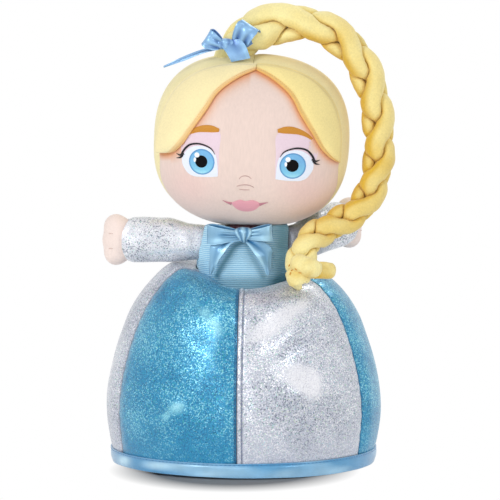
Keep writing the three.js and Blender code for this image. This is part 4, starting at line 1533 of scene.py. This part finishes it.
# Strokes of the mouth and the nose: name, route, widths, how far it stands off the face, and thread
mouth_and_nose = [
    ("lip_corner_right", [(-15.2, -35.1), (-12.5, -36.3), (-9.4, -37.2)],
     [0.3, 1.1, 2.2], 0.25, lip_line_thread),
    ("lip_corner_left", [(14.2, -35.2), (11.6, -35.9), (8.6, -37)],
     [0.3, 1.1, 2.2], 0.25, lip_line_thread),
    ("nose_top", [(-4.7, -19.9), (-3.5, -18.3), (-1, -17.6), (1.4, -18), (3.2, -19.5)],
     [0.35, 0.5, 0.5, 0.5, 0.35], 0.12, nose_thread),
    ("nose_line", [(-6.2, -24.9), (-3.7, -24), (-0.6, -23.6), (2.1, -23.9), (4.9, -25.1)],
     [0.4, 0.55, 0.6, 0.55, 0.4], 0.12, nose_thread),
    ("nose_low", [(-4.5, -26.8), (-1.2, -27.1), (2.1, -26.9)],
     [0.3, 0.4, 0.3], 0.1, nose_thread),
]
for stroke_parts in mouth_and_nose:
    stroke(*stroke_parts)


# Braid: three stuffed strands on one route, squashed flat where they press on each other


def route_point(sideways, forward, up):
    """A point of the braid's route, as shares of its reach to the side, to the front, and up or down."""
    x = lerp(head_centre.x, braid_side_x, sideways)
    z = crown_height + up * (braid_arch_height if up > 0 else crown_height - skirt_top)
    return (x, -forward * braid_tip_forward, z)


braid_route = SmoothLine([
    route_point(-0.22, -0.02, -0.1),
    route_point(-0.13, -0.02, 0.22),
    route_point(0.03, -0.02, 0.84),
    route_point(0.3, 0, 1.01),
    route_point(0.6, 0.02, 0.72),
    route_point(0.83, 0.07, -0.01),
    route_point(0.96, 0.13, -0.2),
    route_point(1, 0.21, -0.4),
    route_point(0.97, 0.31, -0.58),
    route_point(0.86, 0.43, -0.715),
    route_point(0.68, 0.56, -0.785),
    route_point(0.5, 0.71, -0.84),
    route_point(0.395, 0.86, -0.925),
    route_point(0.36, 1, -1.085),
])


def braid_frame(along):
    """The middle of the braid at a place along it, two ways across it and its share of the full size."""
    share = braid_route.share_at(along)
    at = braid_route.at(share)
    way = braid_route.way(clamp(share, 0.0002, 0.9998))
    towards = Vector((0, -1, 0))
    outward_way = (towards - way * towards.dot(way)).normalized()
    outward_way = Matrix.Rotation(braid_face_turn, 3, way) @ outward_way
    across = way.cross(outward_way)
    size = lerp(braid_root, 1, smoothstep(along, 0, 0.13)) * lerp(1, braid_taper, smoothstep(along, 0.1, 1))
    fuller = math.exp(-((along - 0.14) / 0.065) ** 2)
    size *= 1 + braid_root_swell * fuller
    at = at - Vector((0, 0, braid_root_drop * fuller))
    return at, across, outward_way, size


def strand_centre(strand, along, size):
    """Where a strand runs in the braid's oval, on its figure of eight."""
    turn = braid_phase + full_turn * (strand / 3 + braid_turns * along * lerp(1, along, braid_tightening))
    splay = 1 + 0.5 * smoothstep(along, 0.93, 1)
    return braid_sway * size * splay * math.sin(turn), -braid_depth * size * math.sin(2 * turn)


def to_envelope(x, y, c, s, size):
    """How far it is to the oval that the whole braid fills."""
    a, b = braid_half_thickness * size, braid_half_width * size
    square = (c / a) ** 2 + (s / b) ** 2
    half = x * c / (a * a) + y * s / (b * b)
    inside = 1 - (x / a) ** 2 - (y / b) ** 2
    return (math.sqrt(half * half + square * inside) - half) / square


def strand_reach(own, others, angle, size, swell):
    """How far a strand's surface lies from its middle, and how deep that is in a crease."""
    c, s = math.cos(angle), math.sin(angle)
    tightness = (1 / (strand_radius * size * swell)) ** strand_softness
    tightness += (1 / (swell * to_envelope(*own, c, s, size))) ** strand_softness
    free = tightness ** (-1 / strand_softness)
    for other in others:
        dx, dy = other[0] - own[0], other[1] - own[1]
        apart = math.hypot(dx, dy)
        facing = (c * dx + s * dy) / apart
        if facing > 0.05:
            tightness += (facing / (apart / 2 - strand_gap / 2)) ** strand_softness
    reach = tightness ** (-1 / strand_softness)
    return reach, 1 - reach / free


def strand_stations(end, count):
    """Places along a strand and how full it is there: shut at the root, round at the tip."""
    tip = 0.028
    stations = [(0.0, 0.0)] + [(i / count * (end - tip), 1.0) for i in range(count)]
    for degrees in (0, 12, 24, 36, 48, 60, 72, 82, 90):
        turn = math.radians(degrees)
        stations.append((end - tip + tip * math.sin(turn), max(math.cos(turn), 0.002)))
    return stations


def strand_section(index, along):
    """The braid's frame at a place along it, with the middle of a strand there and of the two others."""
    at, side, outward_way, size = braid_frame(along)
    own = strand_centre(index, along, size)
    others = [strand_centre((index + n) % 3, along, size) for n in (1, 2)]
    return at, side, outward_way, size, own, others


def strand_shade(along, at, out, point, crease):
    """Painted shade: darker in the creases and on the side towards the head. The pile is also deeper in
    colour along the middle of the braid, and a little uneven.
    """
    to_head = (head_centre - at).normalized()
    inner = max(0.0, out.dot(to_head)) ** 1.1 * smoothstep(along, 0.1, 0.25)
    inner *= 1 - 0.5 * smoothstep(along, 0.75, 0.9)
    richer = 0.28 * smoothstep(along, 0.18, 0.34) + 0.3 * smoothstep(along, 0.5, 0.62)
    richer *= 1 - smoothstep(along, 0.82, 0.94)
    return clamp(richer + inner + crease * 1.1 + 0.2 * rough(point, 12 * mm, 3))


def strand(index, letter):
    """One stuffed strand of the braid, pressed flat where it lies on the others and puckered there."""
    stations = strand_stations(strand_ends[letter], 250)
    sections = [strand_section(index, along) for along, _ in stations]

    def place(across, up):
        row = round(up * (len(stations) - 1))
        along, swell = stations[row]
        at, side, outward_way, size, own, others = sections[row]
        if swell < 0.01:
            return at + side * own[0] + outward_way * own[1], 0.5
        angle = across * full_turn
        reach, crease = strand_reach(own, others, angle, size, swell)
        out = side * math.cos(angle) + outward_way * math.sin(angle)
        point = at + side * own[0] + outward_way * own[1] + out * reach
        creased = clamp(crease * 3)
        soft = 0.45 * mm * rough(point, 9 * mm, index) + 0.25 * mm * rough(point, 4 * mm, index + 5)
        pucker = 0.3 * mm * math.sin(along * 420 + 5 * rough(point, 7 * mm, index))
        point = point + out * (soft * (1 - creased) + pucker * creased * clamp(1 - crease)) * swell
        return point, strand_shade(along, at, out, point, crease)

    piece = cloth("strand_" + letter, 48, len(stations) - 1, place, closed=True)
    smooth(piece)
    dress(piece, braid_cloth, "braid", "braid_strand_" + letter, slot="hair_fleece")


def tuft(name, points, half_width, half_depth, flat_end=0.0, shaded=0.4):
    """The turned-up end of a strand past the tie: a stubby stuffed tube, round or folded flat at its end."""
    line = SmoothLine(points, mm)

    def place(across, up):
        at = line.at(line.share_at(up))
        way = line.way(clamp(up, 0.01, 0.99))
        side = way.cross(Vector((0, -1, 0))).normalized()
        out = side.cross(way)
        shut = clamp(1 - abs(2 * up - 1) ** 4)
        full = math.sqrt(shut)
        angle = across * full_turn
        wide = half_width * lerp(1, 1.15, up * flat_end) * mm
        deep = half_depth * lerp(1, 0.6, up * flat_end) * mm
        point = at + side * wide * full * math.cos(angle) + out * deep * full * math.sin(angle)
        fur = 0.5 * mm * rough(point, 5 * mm, half_width) + 0.25 * mm * rough(point, 2 * mm, half_depth)
        point = point + (point - at).normalized() * fur * full if full > 0.05 else point
        # Painted shade: darker towards the root, by as much as shaded says, and on the underside.
        below = 0.35 * max(0.0, (at - point).z / (half_width * mm))
        return point, clamp(shaded * (1.2 - up) + below + 0.3 * rough(point, 5 * mm, 1))

    piece = cloth(name, 40, 40, place, closed=True)
    smooth(piece)
    dress(piece, braid_cloth, "braid", slot="hair_fleece")


tuft("tuft_left", [(33.5, -50, 133), (34.6, -52.5, 128), (36.8, -52.5, 122.4)], 7, 5.6)
tuft("tuft_right", [(38, -47, 130.5), (48, -45.5, 131.4), (60, -43, 130.2)], 5.2, 5.6, 1.0, 0.8)
tuft("tuft_over", [(31, -52, 139), (39, -55.5, 135.8), (50.5, -52.5, 131.6)], 6.2, 5, 0.0, 0.15)


def front_of_braid(x, z):
    """The foremost place of the braid and its tufts behind a point seen from the front, and the way out."""
    nearest = None
    before = Vector((x, -200, z)) * mm
    for name in ("strand_a", "strand_b", "strand_c", "tuft_left", "tuft_right", "tuft_over"):
        hit, at, out, _ = bpy.data.objects[name].ray_cast(before, Vector((0, 1, 0)))
        if hit and (nearest is None or at.y < nearest[0].y):
            nearest = (at, out)
    return nearest


# Where each tie stitch lies, seen from the front: x and height in mm, and its lean in radians
tie_places = [
    (29.6, 134.8, 0.9), (31.6, 132.6, 0.3), (34, 133.6, -0.5), (30.4, 130.6, 1.3), (36.6, 131.4, 0.2),
]


def tie_stitches():
    """Thick stitches that hold the ends of the strands together."""
    spots = []
    for x, z, lean in tie_places:
        at, out = front_of_braid(x, z)
        along = Vector((math.cos(lean), 0, math.sin(lean)))
        spots.append((at, (along - out * along.dot(out)).normalized(), out))
    row = stitches("tie_stitches", spots, 2.4 * mm, 0.8 * mm)
    dress(row, gold_thread, "braid", slot="hair_fleece")


for strand_index, strand_letter in enumerate("abc"):
    strand(strand_index, strand_letter)

tie_stitches()


# Arms, built out along +X from the shoulder and then turned round it


def arm_place(side, turn):
    return Matrix.Translation(shoulder(side)) @ Matrix.Rotation(turn, 4, "Z")


def sleeve_section(out, angle, rise):
    """How far the plain sleeve reaches across and up at a place along the arm, and how high its middle is."""
    up = smoothstep(out, 4 * mm, 0.45 * sleeve_length)
    depth = lerp(sleeve_root, sleeve_cuff, smoothstep(out, 0, sleeve_length))
    height = lerp(root_half_height, cuff_half_height, up)
    inner = max(0.0, -out / sleeve_root)
    full = math.sqrt(max(0.0, 1 - inner * inner))
    y, z = oval(max(depth * full, 0.8 * mm), height * lerp(0.72, 1, full), 2.4, angle)
    return y, z, arm_height + arm_rise * up + rise * smoothstep(out, 0, sleeve_length)


def sleeve(name, node, body, side, turn, rise, shaded_to):
    """A stuffed sleeve: a round root in the armhole, folds beside it, and a cuff closed round the hand.

    rise is how much higher the cuff lies, and shaded_to how far out from the armhole the sleeve is given
    painted shade.
    """
    put = arm_place(side, turn)
    stations = [-0.985 * sleeve_root * math.cos(math.radians(a)) for a in (0, 15, 30, 45, 60, 75, 90)]
    stations += [sleeve_length * i / 56 for i in range(1, 57)]
    closing = 5

    def place(across, up):
        row = round(up * (len(stations) + closing))
        angle = across * full_turn
        if row == 0:
            y, z, centre = sleeve_section(stations[0], angle, rise)
            # Painted shade at the middle of the root, inside the armhole.
            return put @ Vector((stations[0], 0, centre)), 0.9
        out = stations[min(row, len(stations)) - 1]
        past = max(row - len(stations), 0)
        shrink = 0.0 if past == closing else math.cos(math.radians(18 * past))
        y, z, centre = sleeve_section(out, angle, rise)
        cuff = smoothstep(out, 0.7 * sleeve_length, sleeve_length)
        bowed = 2.6 * mm * cuff * (1 - 2 * abs(math.sin(angle)) ** 3)
        spot = Vector((out, y, z))
        folds = 0.5 * mm * math.sin(out / (5.5 * mm) + 3 * rough(spot, 14 * mm, side + 2))
        folds *= math.exp(-((out - 9 * mm) / (9 * mm)) ** 2)
        soft = (0.5 * mm * rough(spot, 15 * mm, side + 4) + folds) * clamp((out + sleeve_root) / sleeve_root)
        gather = -0.9 * mm * smoothstep(out, 0.93 * sleeve_length, sleeve_length)
        swell = (1 + (soft + gather) / math.hypot(y, z)) * shrink
        back = 2.5 * mm * (1 - shrink)
        # Painted shade near the armhole, fading out towards shaded_to.
        shade = 0.9 * (1 - smoothstep(out, 0.3 * shaded_to, shaded_to)) if shaded_to else 0.0
        return put @ Vector((out + bowed * shrink - back, y * swell, centre + z * swell)), shade

    piece = cloth(name, 80, len(stations) + closing, place, closed=True)
    smooth(piece, 70)
    dress(piece, sleeve_glitter, body, node, slot="glitter_silver")


# The hand in millimetres, out from the shoulder: a palm and three fingers as ovals, with their half sizes
wrist = 45.0
hand_middle = 51
palm_middle = 50.35
palm_size = Vector((10.5, 9, 14.35))
finger_tip = 61.35
finger_width = 7.4
finger_pitch = 8.9
finger_gap = 4.9
finger_root = 57.6


def hand_fullness(point, middle):
    """Below 1 inside the hand: a palm with three short finger lobes, run together softly."""
    lobes = [(Vector((palm_middle, 0, middle)), palm_size)]
    for finger in (-1, 0, 1):
        length = 7.5 if finger == 0 else 7
        at = finger_tip - length - 0.6 * abs(finger)
        half = Vector((length, finger_width, finger_width))
        lobes.append((Vector((at, 0, middle + finger * finger_pitch)), half))
    total = 0.0
    for centre, half in lobes:
        away = point - centre
        ratio = math.sqrt((away.x / half.x) ** 2 + (away.y / half.y) ** 2 + (away.z / half.z) ** 2)
        total += max(ratio, 1e-3) ** -7
    return total ** (-1 / 7)


def hand(name, node, body, side, turn, rise):
    """A stuffed mitten hand, flat where it goes into the cuff."""
    put = arm_place(side, turn)
    middle = (arm_height + arm_rise + rise) / mm
    centre = Vector((hand_middle, 0, middle))
    piece = ball(name, 72, 48)
    for vertex in piece.data.vertices:
        way = Vector((vertex.co.z, vertex.co.y, -vertex.co.x)).normalized()
        reach = close_in(0.0, 30.0, 16, lambda far: hand_fullness(centre + way * far, middle) < 1)
        point = centre + way * reach
        point += way * 0.25 * rough(point, 7, side)
        point.x = max(point.x, wrist)
        vertex.co = put @ (point * mm)
    close(piece)
    smooth(piece)
    dress(piece, hand_cloth, body, node, slot="face_fleece")
    finger_stitches(name, body, put, middle)


def finger_stitches(name, body, put, middle):
    """The short stitched lines between the fingers, in front and behind."""
    along = put.to_3x3() @ Vector((1, 0, 0))
    spots = []
    for facing in (-1, 1):
        out = (put.to_3x3() @ Vector((0.3, facing, 0))).normalized()
        for gap in (-1, 1):
            for i in range(3):
                x = finger_root - 0.9 * i
                z = middle + gap * finger_gap
                y = 0.0
                while hand_fullness(Vector((x, y, z)), middle) < 1:
                    y += facing * 0.1
                here = put @ (Vector((x, y + facing * 0.02, z)) * mm)
                spots.append((here, along, out))
    row = stitches(name + "_stitches", spots, 0.9 * mm, 0.35 * mm)
    dress(row, wrist_thread, body, slot="face_fleece")


sleeve("sleeve_right", "right_sleeve", "right_arm", -1, right_arm_turn, 0, 0)
hand("hand_right", "right_hand", "right_arm", -1, right_arm_turn, 0)
sleeve("sleeve_left", "left_sleeve", "left_arm", 1, left_arm_turn, left_arm_lift, left_sleeve_shadow)
hand("hand_left", "left_hand", "left_arm", 1, left_arm_turn, left_arm_lift)


# Ribbon bows, in millimetres about the knot, facing -Y


def ribbon(name, columns, rows, shape, put):
    """A piece of ribbon: shape(across, up) gives a place about the knot and how deep its painted shade lies
    there.
    """

    def place(across, up):
        at, shade = shape(across, up)
        return put @ (at * mm), clamp(shade)

    piece = cloth(name, columns, rows, place)
    thicken(piece, ribbon_thickness, 0)
    smooth(piece, 50)
    return piece


def loop_turn(length, across):
    """How far round a loop a place lies, how far out from the knot, and that as a share of its length."""
    turn = full_turn * lerp(0.02, 0.98, across)
    x = length * (1 - math.cos(turn)) / 2
    return turn, x, x / length


def loop_shape(length, width, knot, swell, lean, slip=0.0):
    """A loop of ribbon, gathered at the knot. slip moves its back layer up past its front layer."""
    turned = Matrix.Rotation(lean, 3, "Y")

    def shape(across, up):
        turn, x, part = loop_turn(length, across)
        y = swell * math.sin(turn) * math.sqrt(part + 0.05)
        side = (up - 0.5) * 2
        half = lerp(knot, width, part ** 0.6) / 2 * (1 - 0.14 * smoothstep(part, 0.8, 1))
        folds = math.cos(side * 7 + 0.6) * (1 - part) ** 0.8
        droop = 0.6 * (1 - side * side) * part
        z = half * side + slip * math.sin(turn) * part ** 0.5
        back = y > 0
        # Painted shade: the back layer is dark; the front is darker in its folds and near the knot, with a
        # painted highlight over its outer bulge and at its end.
        dark = 0.75
        if not back:
            dark = 0.3 - 0.5 * folds + 0.35 * (1 - part) ** 2
            dark -= 0.5 * math.exp(-((part - 0.72) / 0.16) ** 2) * (1 - abs(side))
            dark -= 0.25 * smoothstep(part, 0.9, 1)
        y += 1.1 * folds * (1 if back else -1) - math.copysign(0.3, y) * side * side
        return turned @ Vector((x - math.copysign(droop, length) * 0.5, y, z)), dark

    return shape


def fanned_loop(length, width, knot, swell, lean, slip, folds, pale=0.0):
    """A flat loop that fans out from the knot in sharp folds, each at a place across it and so deep."""
    turned = Matrix.Rotation(lean, 3, "Y")

    def shape(across, up):
        turn, x, part = loop_turn(length, across)
        side = (up - 0.5) * 2
        back = math.sin(turn) > 0
        y = swell * math.sin(turn) * math.sqrt(part + 0.05)
        half = lerp(knot, width, part ** 1.1) / 2 * (1 - 0.06 * smoothstep(part, 0.85, 1))
        z = half * side + slip * math.sin(turn) * part ** 0.5
        # Painted shade: the back layer is dark, lighter along its upper edge.
        if back:
            return turned @ Vector((x, y, z)), 0.95 - 0.6 * smoothstep(side, 0.8, 0.97)
        gathered = (1 - smoothstep(part, 0.3, 0.75)) * smoothstep(part, 0.05, 0.25)
        crease, between = 0.0, 0.0
        for at, deep in folds:
            beside = side - at - 0.25 * (part - 0.5)
            crease += deep * math.exp(-(beside / 0.13) ** 2)
            between += deep * math.exp(-((beside - 0.28) / 0.14) ** 2)
        y += (1.3 * crease - 0.8 * between) * gathered + 0.5 * side * side
        # Painted shade and highlight: darker in the folds, near the knot and across the middle, lighter
        # between the folds and in a painted highlight low on the outer part; paler along both edges; pale
        # lightens the whole front as painted light.
        dark = 0.42 - pale + 0.6 * crease * gathered - 0.4 * between * gathered + 0.3 * (1 - part) ** 3
        dark += 0.3 * math.exp(-((part - 0.62) / 0.2) ** 2) * math.exp(-((side - 0.1) / 0.4) ** 2)
        dark -= 0.4 * math.exp(-((part - 0.75) / 0.18) ** 2) * math.exp(-((side + 0.55) / 0.3) ** 2)
        dark -= 0.5 * smoothstep(abs(side), 0.9, 0.97)
        droop = 0.5 * (1 - side * side) * part
        return turned @ Vector((x - math.copysign(droop, length), y, z)), dark

    return shape


def tail_shape(upper, lower, depth, curl, painted_shade_tone=0.28):
    """A tail between two edges of (x, z) places, lying at a depth, its lower edge curled to the front."""
    first = SmoothLine(upper)
    second = SmoothLine(lower)

    def shape(across, up):
        a = first.at(first.share_at(across))
        b = second.at(second.share_at(across))
        at = a + (b - a) * up
        y = depth(across) - curl * math.sin(math.pi * up) * 0.5 * across
        y -= curl * up * up * math.sin(math.pi * min(across * 1.1, 1))
        fold = math.exp(-((up - 0.55) / 0.18) ** 2) * (1 - across)
        y += 0.8 * fold
        # Painted shade and highlight: a base tone of shade, darker in the fold and near the knot, with a
        # painted highlight along the lower edge.
        dark = painted_shade_tone + 0.55 * fold + 0.3 * (1 - across) ** 3 - 0.6 * smoothstep(up, 0.72, 0.95)
        return Vector((at.x, y, at.y)), dark

    return shape


def knot_piece(name, half_width, half_depth, half_height, pleats, put, point_down, painted_shade_tone=0.3):
    """The knot: a short band of ribbon drawn in fine upright pleats, narrower below."""
    piece = ball(name, 72, 36)
    shades = []
    for vertex in piece.data.vertices:
        x, y, z = vertex.co
        x, y, z = (math.copysign(abs(v) ** 0.7, v) for v in (x, y, z))
        narrow = lerp(1, 1 - point_down, smoothstep(-z, -0.5, 1))
        wave = math.cos(pleats * math.pi * x + 0.7 * z)
        ridge = 0.45 * wave * (1 - abs(z) ** 3)
        if y >= 0:
            ridge = 0
        spot = Vector((x * half_width * narrow, y * half_depth - ridge, z * half_height))
        vertex.co = put @ (spot * mm)
        # Painted shade: darker in the hollows between the pleats, lighter on their ridges.
        shades.append(clamp(painted_shade_tone - 0.45 * wave))
    mark(piece, "shade", shades)
    close(piece)
    smooth(piece)
    return piece


def bow(name, material, body, node, pieces):
    """Joins the pieces of a bow in one object, which replaces its node."""
    deselect()
    for piece in pieces:
        piece.select_set(True)
    bpy.context.view_layer.objects.active = pieces[0]
    bpy.ops.object.join()
    whole = named(name)
    dress(whole, material, body, node, slot="satin_ribbon")
    return whole


def chest_bow():
    put = Matrix.Translation(Vector((0, -24.85, 151.7)) * mm) @ Matrix.Rotation(-math.atan2(2, 25), 4, "X")
    pieces = [
        knot_piece("chest_knot", 6.2, 4.2, 5, 2.5, put, 0.6, 0.42),
        ribbon("chest_loop_right", 72, 48, fanned_loop(
            -23.2, 13.4, 4.6, 3.8, math.radians(1), 1.3, [(0.15, 1), (0.5, 0.6), (-0.3, 0.35)]), put),
        ribbon("chest_loop_left", 64, 48, fanned_loop(
            18.6, 10.6, 5, 3.4, math.radians(-5), 1.0, [(-0.1, 0.7), (0.55, 0.8)], 0.22), put),
        ribbon("chest_tail_right", 36, 20, tail_shape(
            [(-3, 0), (-12, -3), (-21, -6.5), (-21.8, -15), (-22, -25)],
            [(-0.5, -3.5), (-7, -5), (-11.5, -10), (-16.5, -17.5), (-21.2, -26.2)],
            lambda s: lerp(0, 1.6, s), 3.4, 0.42), put),
        ribbon("chest_tail_left", 36, 20, tail_shape(
            [(2, -1.5), (9, -2.6), (18, -9), (18, -16), (16.8, -25.5)],
            [(0.6, -4), (4, -8), (7.6, -13), (12.2, -20), (15.6, -26.4)],
            lambda s: lerp(0, 1.6, s), 3.0, 0.42), put),
    ]
    whole = bow("bow_chest", bow_satin, "torso", "chest_bow", pieces)


def hair_bow():
    put = Matrix.Translation(Vector((-11.8, -15.8, 275.3)) * mm)
    beside = put @ Matrix.Translation(Vector((9, 0, 0)) * mm)
    before = put @ Matrix.Translation(Vector((-3, -1, -1)) * mm)
    pieces = [
        knot_piece("hair_knot", 5.5, 3.4, 3.6, 2, put, 0.2),
        ribbon("hair_loop_up", 64, 24, loop_shape(14.5, 15, 10, 4.2, math.radians(-57), -2.2), beside),
        ribbon("hair_loop_small", 56, 20, loop_shape(-11, 13, 6, 3.2, math.radians(32), 0.8), before),
        ribbon("hair_tail_short", 26, 18, tail_shape(
            [(-2, 2.6), (-2, -1.5), (0.8, -5.5), (4, -11.3)],
            [(10, 3.4), (13.2, -0.6), (14.6, -4), (16.2, -8.8)],
            lambda s: lerp(-1.8, -3.6, math.sin(math.pi * s * 0.6)), 1.0), put),
        ribbon("hair_tail_long", 44, 12, tail_shape(
            [(0, 0), (-14, -3.4), (-27, -8.4), (-40, -15)],
            [(0, -3), (-14, -6.2), (-27, -11.4), (-40, -15.7)],
            lambda s: lerp(1, 3.4, s), 0.6), put),
    ]
    whole = bow("bow_hair", hair_bow_satin, "head", "hair_bow", pieces)


chest_bow()
hair_bow()


# Floor, lights and camera


# The middle of the floor's painted shadow
shadow_centre = (-6 * mm, -40 * mm, 0)

# Each lamp's name, place and width in metres, and power in watts
lamps = [
    ("key", (-1.0, -1.2, 1.0), 0.4, 9.2),
    ("fill", (1.2, -1.3, 0.9), 0.35, 3.8),
    ("low", (-0.2, -1.5, 0.06), 0.6, 2.6),
    ("back", (0.9, 0.9, 1.5), 0.5, 8),
]


def floor():
    """A white floor. Round a spot in front of the doll's foot the camera sees it dark grey, a painted shadow
    over the lamps' own, fading to plain white further out.
    """
    deselect()
    bpy.ops.mesh.primitive_plane_add(size=8, location=(0, 0, -0.0002))
    piece = named("floor")
    material = bpy.data.materials.new("floor_white")
    material.use_nodes = True
    tree = Tree(material.node_tree)
    surface = material.node_tree.nodes["Principled BSDF"]
    surface.inputs["Roughness"].default_value = 0.9
    end = material.node_tree.nodes["Material Output"]
    away = tree.vector("SUBTRACT", {0: tree.place(), 1: shadow_centre})
    far = tree.vector("LENGTH", {0: tree.stretched(away, (1.25, 1, 1))}, "Value")
    to_camera = tree.add("ShaderNodeLightPath").outputs["Is Camera Ray"]
    # Painted shadow: the camera sees the floor near the doll dark grey, while light bounces off it pale.
    painted_shade_tone = tree.mix(to_camera, (0.95, 0.95, 0.95, 1), (0.19, 0.19, 0.195, 1))
    tree.give(surface.inputs["Base Color"], painted_shade_tone)
    share = tree.maths("MULTIPLY", tree.seen(), tree.ramp(far, 0.066, 0.102))
    glow = tree.add("ShaderNodeEmission", {"Color": white, "Strength": 1.0}).outputs[0]
    both = tree.add("ShaderNodeMixShader", {0: share, 1: surface.outputs[0], 2: glow})
    tree.give(end.inputs["Surface"], both.outputs[0])
    piece.data.materials.append(material)


def world(level):
    """White all round, which lights the doll at a level and is seen at full strength."""
    made = bpy.data.worlds.new("studio")
    made.use_nodes = True
    bpy.context.scene.world = made
    tree = Tree(made.node_tree)
    end = made.node_tree.nodes["World Output"]
    soft = made.node_tree.nodes["Background"]
    soft.inputs["Color"].default_value = (1, 1, 1, 1)
    soft.inputs["Strength"].default_value = level
    plain = tree.add("ShaderNodeBackground", {"Color": white, "Strength": 1.0}).outputs[0]
    both = tree.add("ShaderNodeMixShader", {0: tree.seen(), 1: soft.outputs[0], 2: plain})
    tree.give(end.inputs["Surface"], both.outputs[0])


def lamp(name, place, size, power):
    """A round lamp that points at the middle of the doll."""
    data = bpy.data.lights.new(name, "AREA")
    data.shape = "DISK"
    data.size = size
    data.energy = power
    piece = bpy.data.objects.new(name, data)
    piece.location = place
    piece.rotation_euler = (Vector((0, 0, 0.15)) - Vector(place)).to_track_quat("-Z", "Y").to_euler()
    bpy.context.scene.collection.objects.link(piece)


camera_distance = 12.0
camera_elevation = math.radians(7.5)
camera_target = Vector((4.2, 0, 138.5)) * mm
picture_width = 325 * mm


def camera():
    """A camera far off, whose picture is as wide as the given width at the doll."""
    data = bpy.data.cameras.new("camera")
    data.sensor_width = 36
    data.lens = data.sensor_width * camera_distance / picture_width
    piece = bpy.data.objects.new("camera", data)
    way = Vector((0, -math.cos(camera_elevation), math.sin(camera_elevation)))
    piece.location = camera_target + camera_distance * way
    piece.rotation_euler = (math.pi / 2 - camera_elevation, 0, 0)
    bpy.context.scene.collection.objects.link(piece)
    bpy.context.scene.camera = piece


floor()
world(0.6)
for lamp_name, lamp_place, lamp_size, lamp_power in lamps:
    lamp(lamp_name, lamp_place, lamp_size, lamp_power)
camera()
bpy.context.scene.view_settings.view_transform = "Standard"
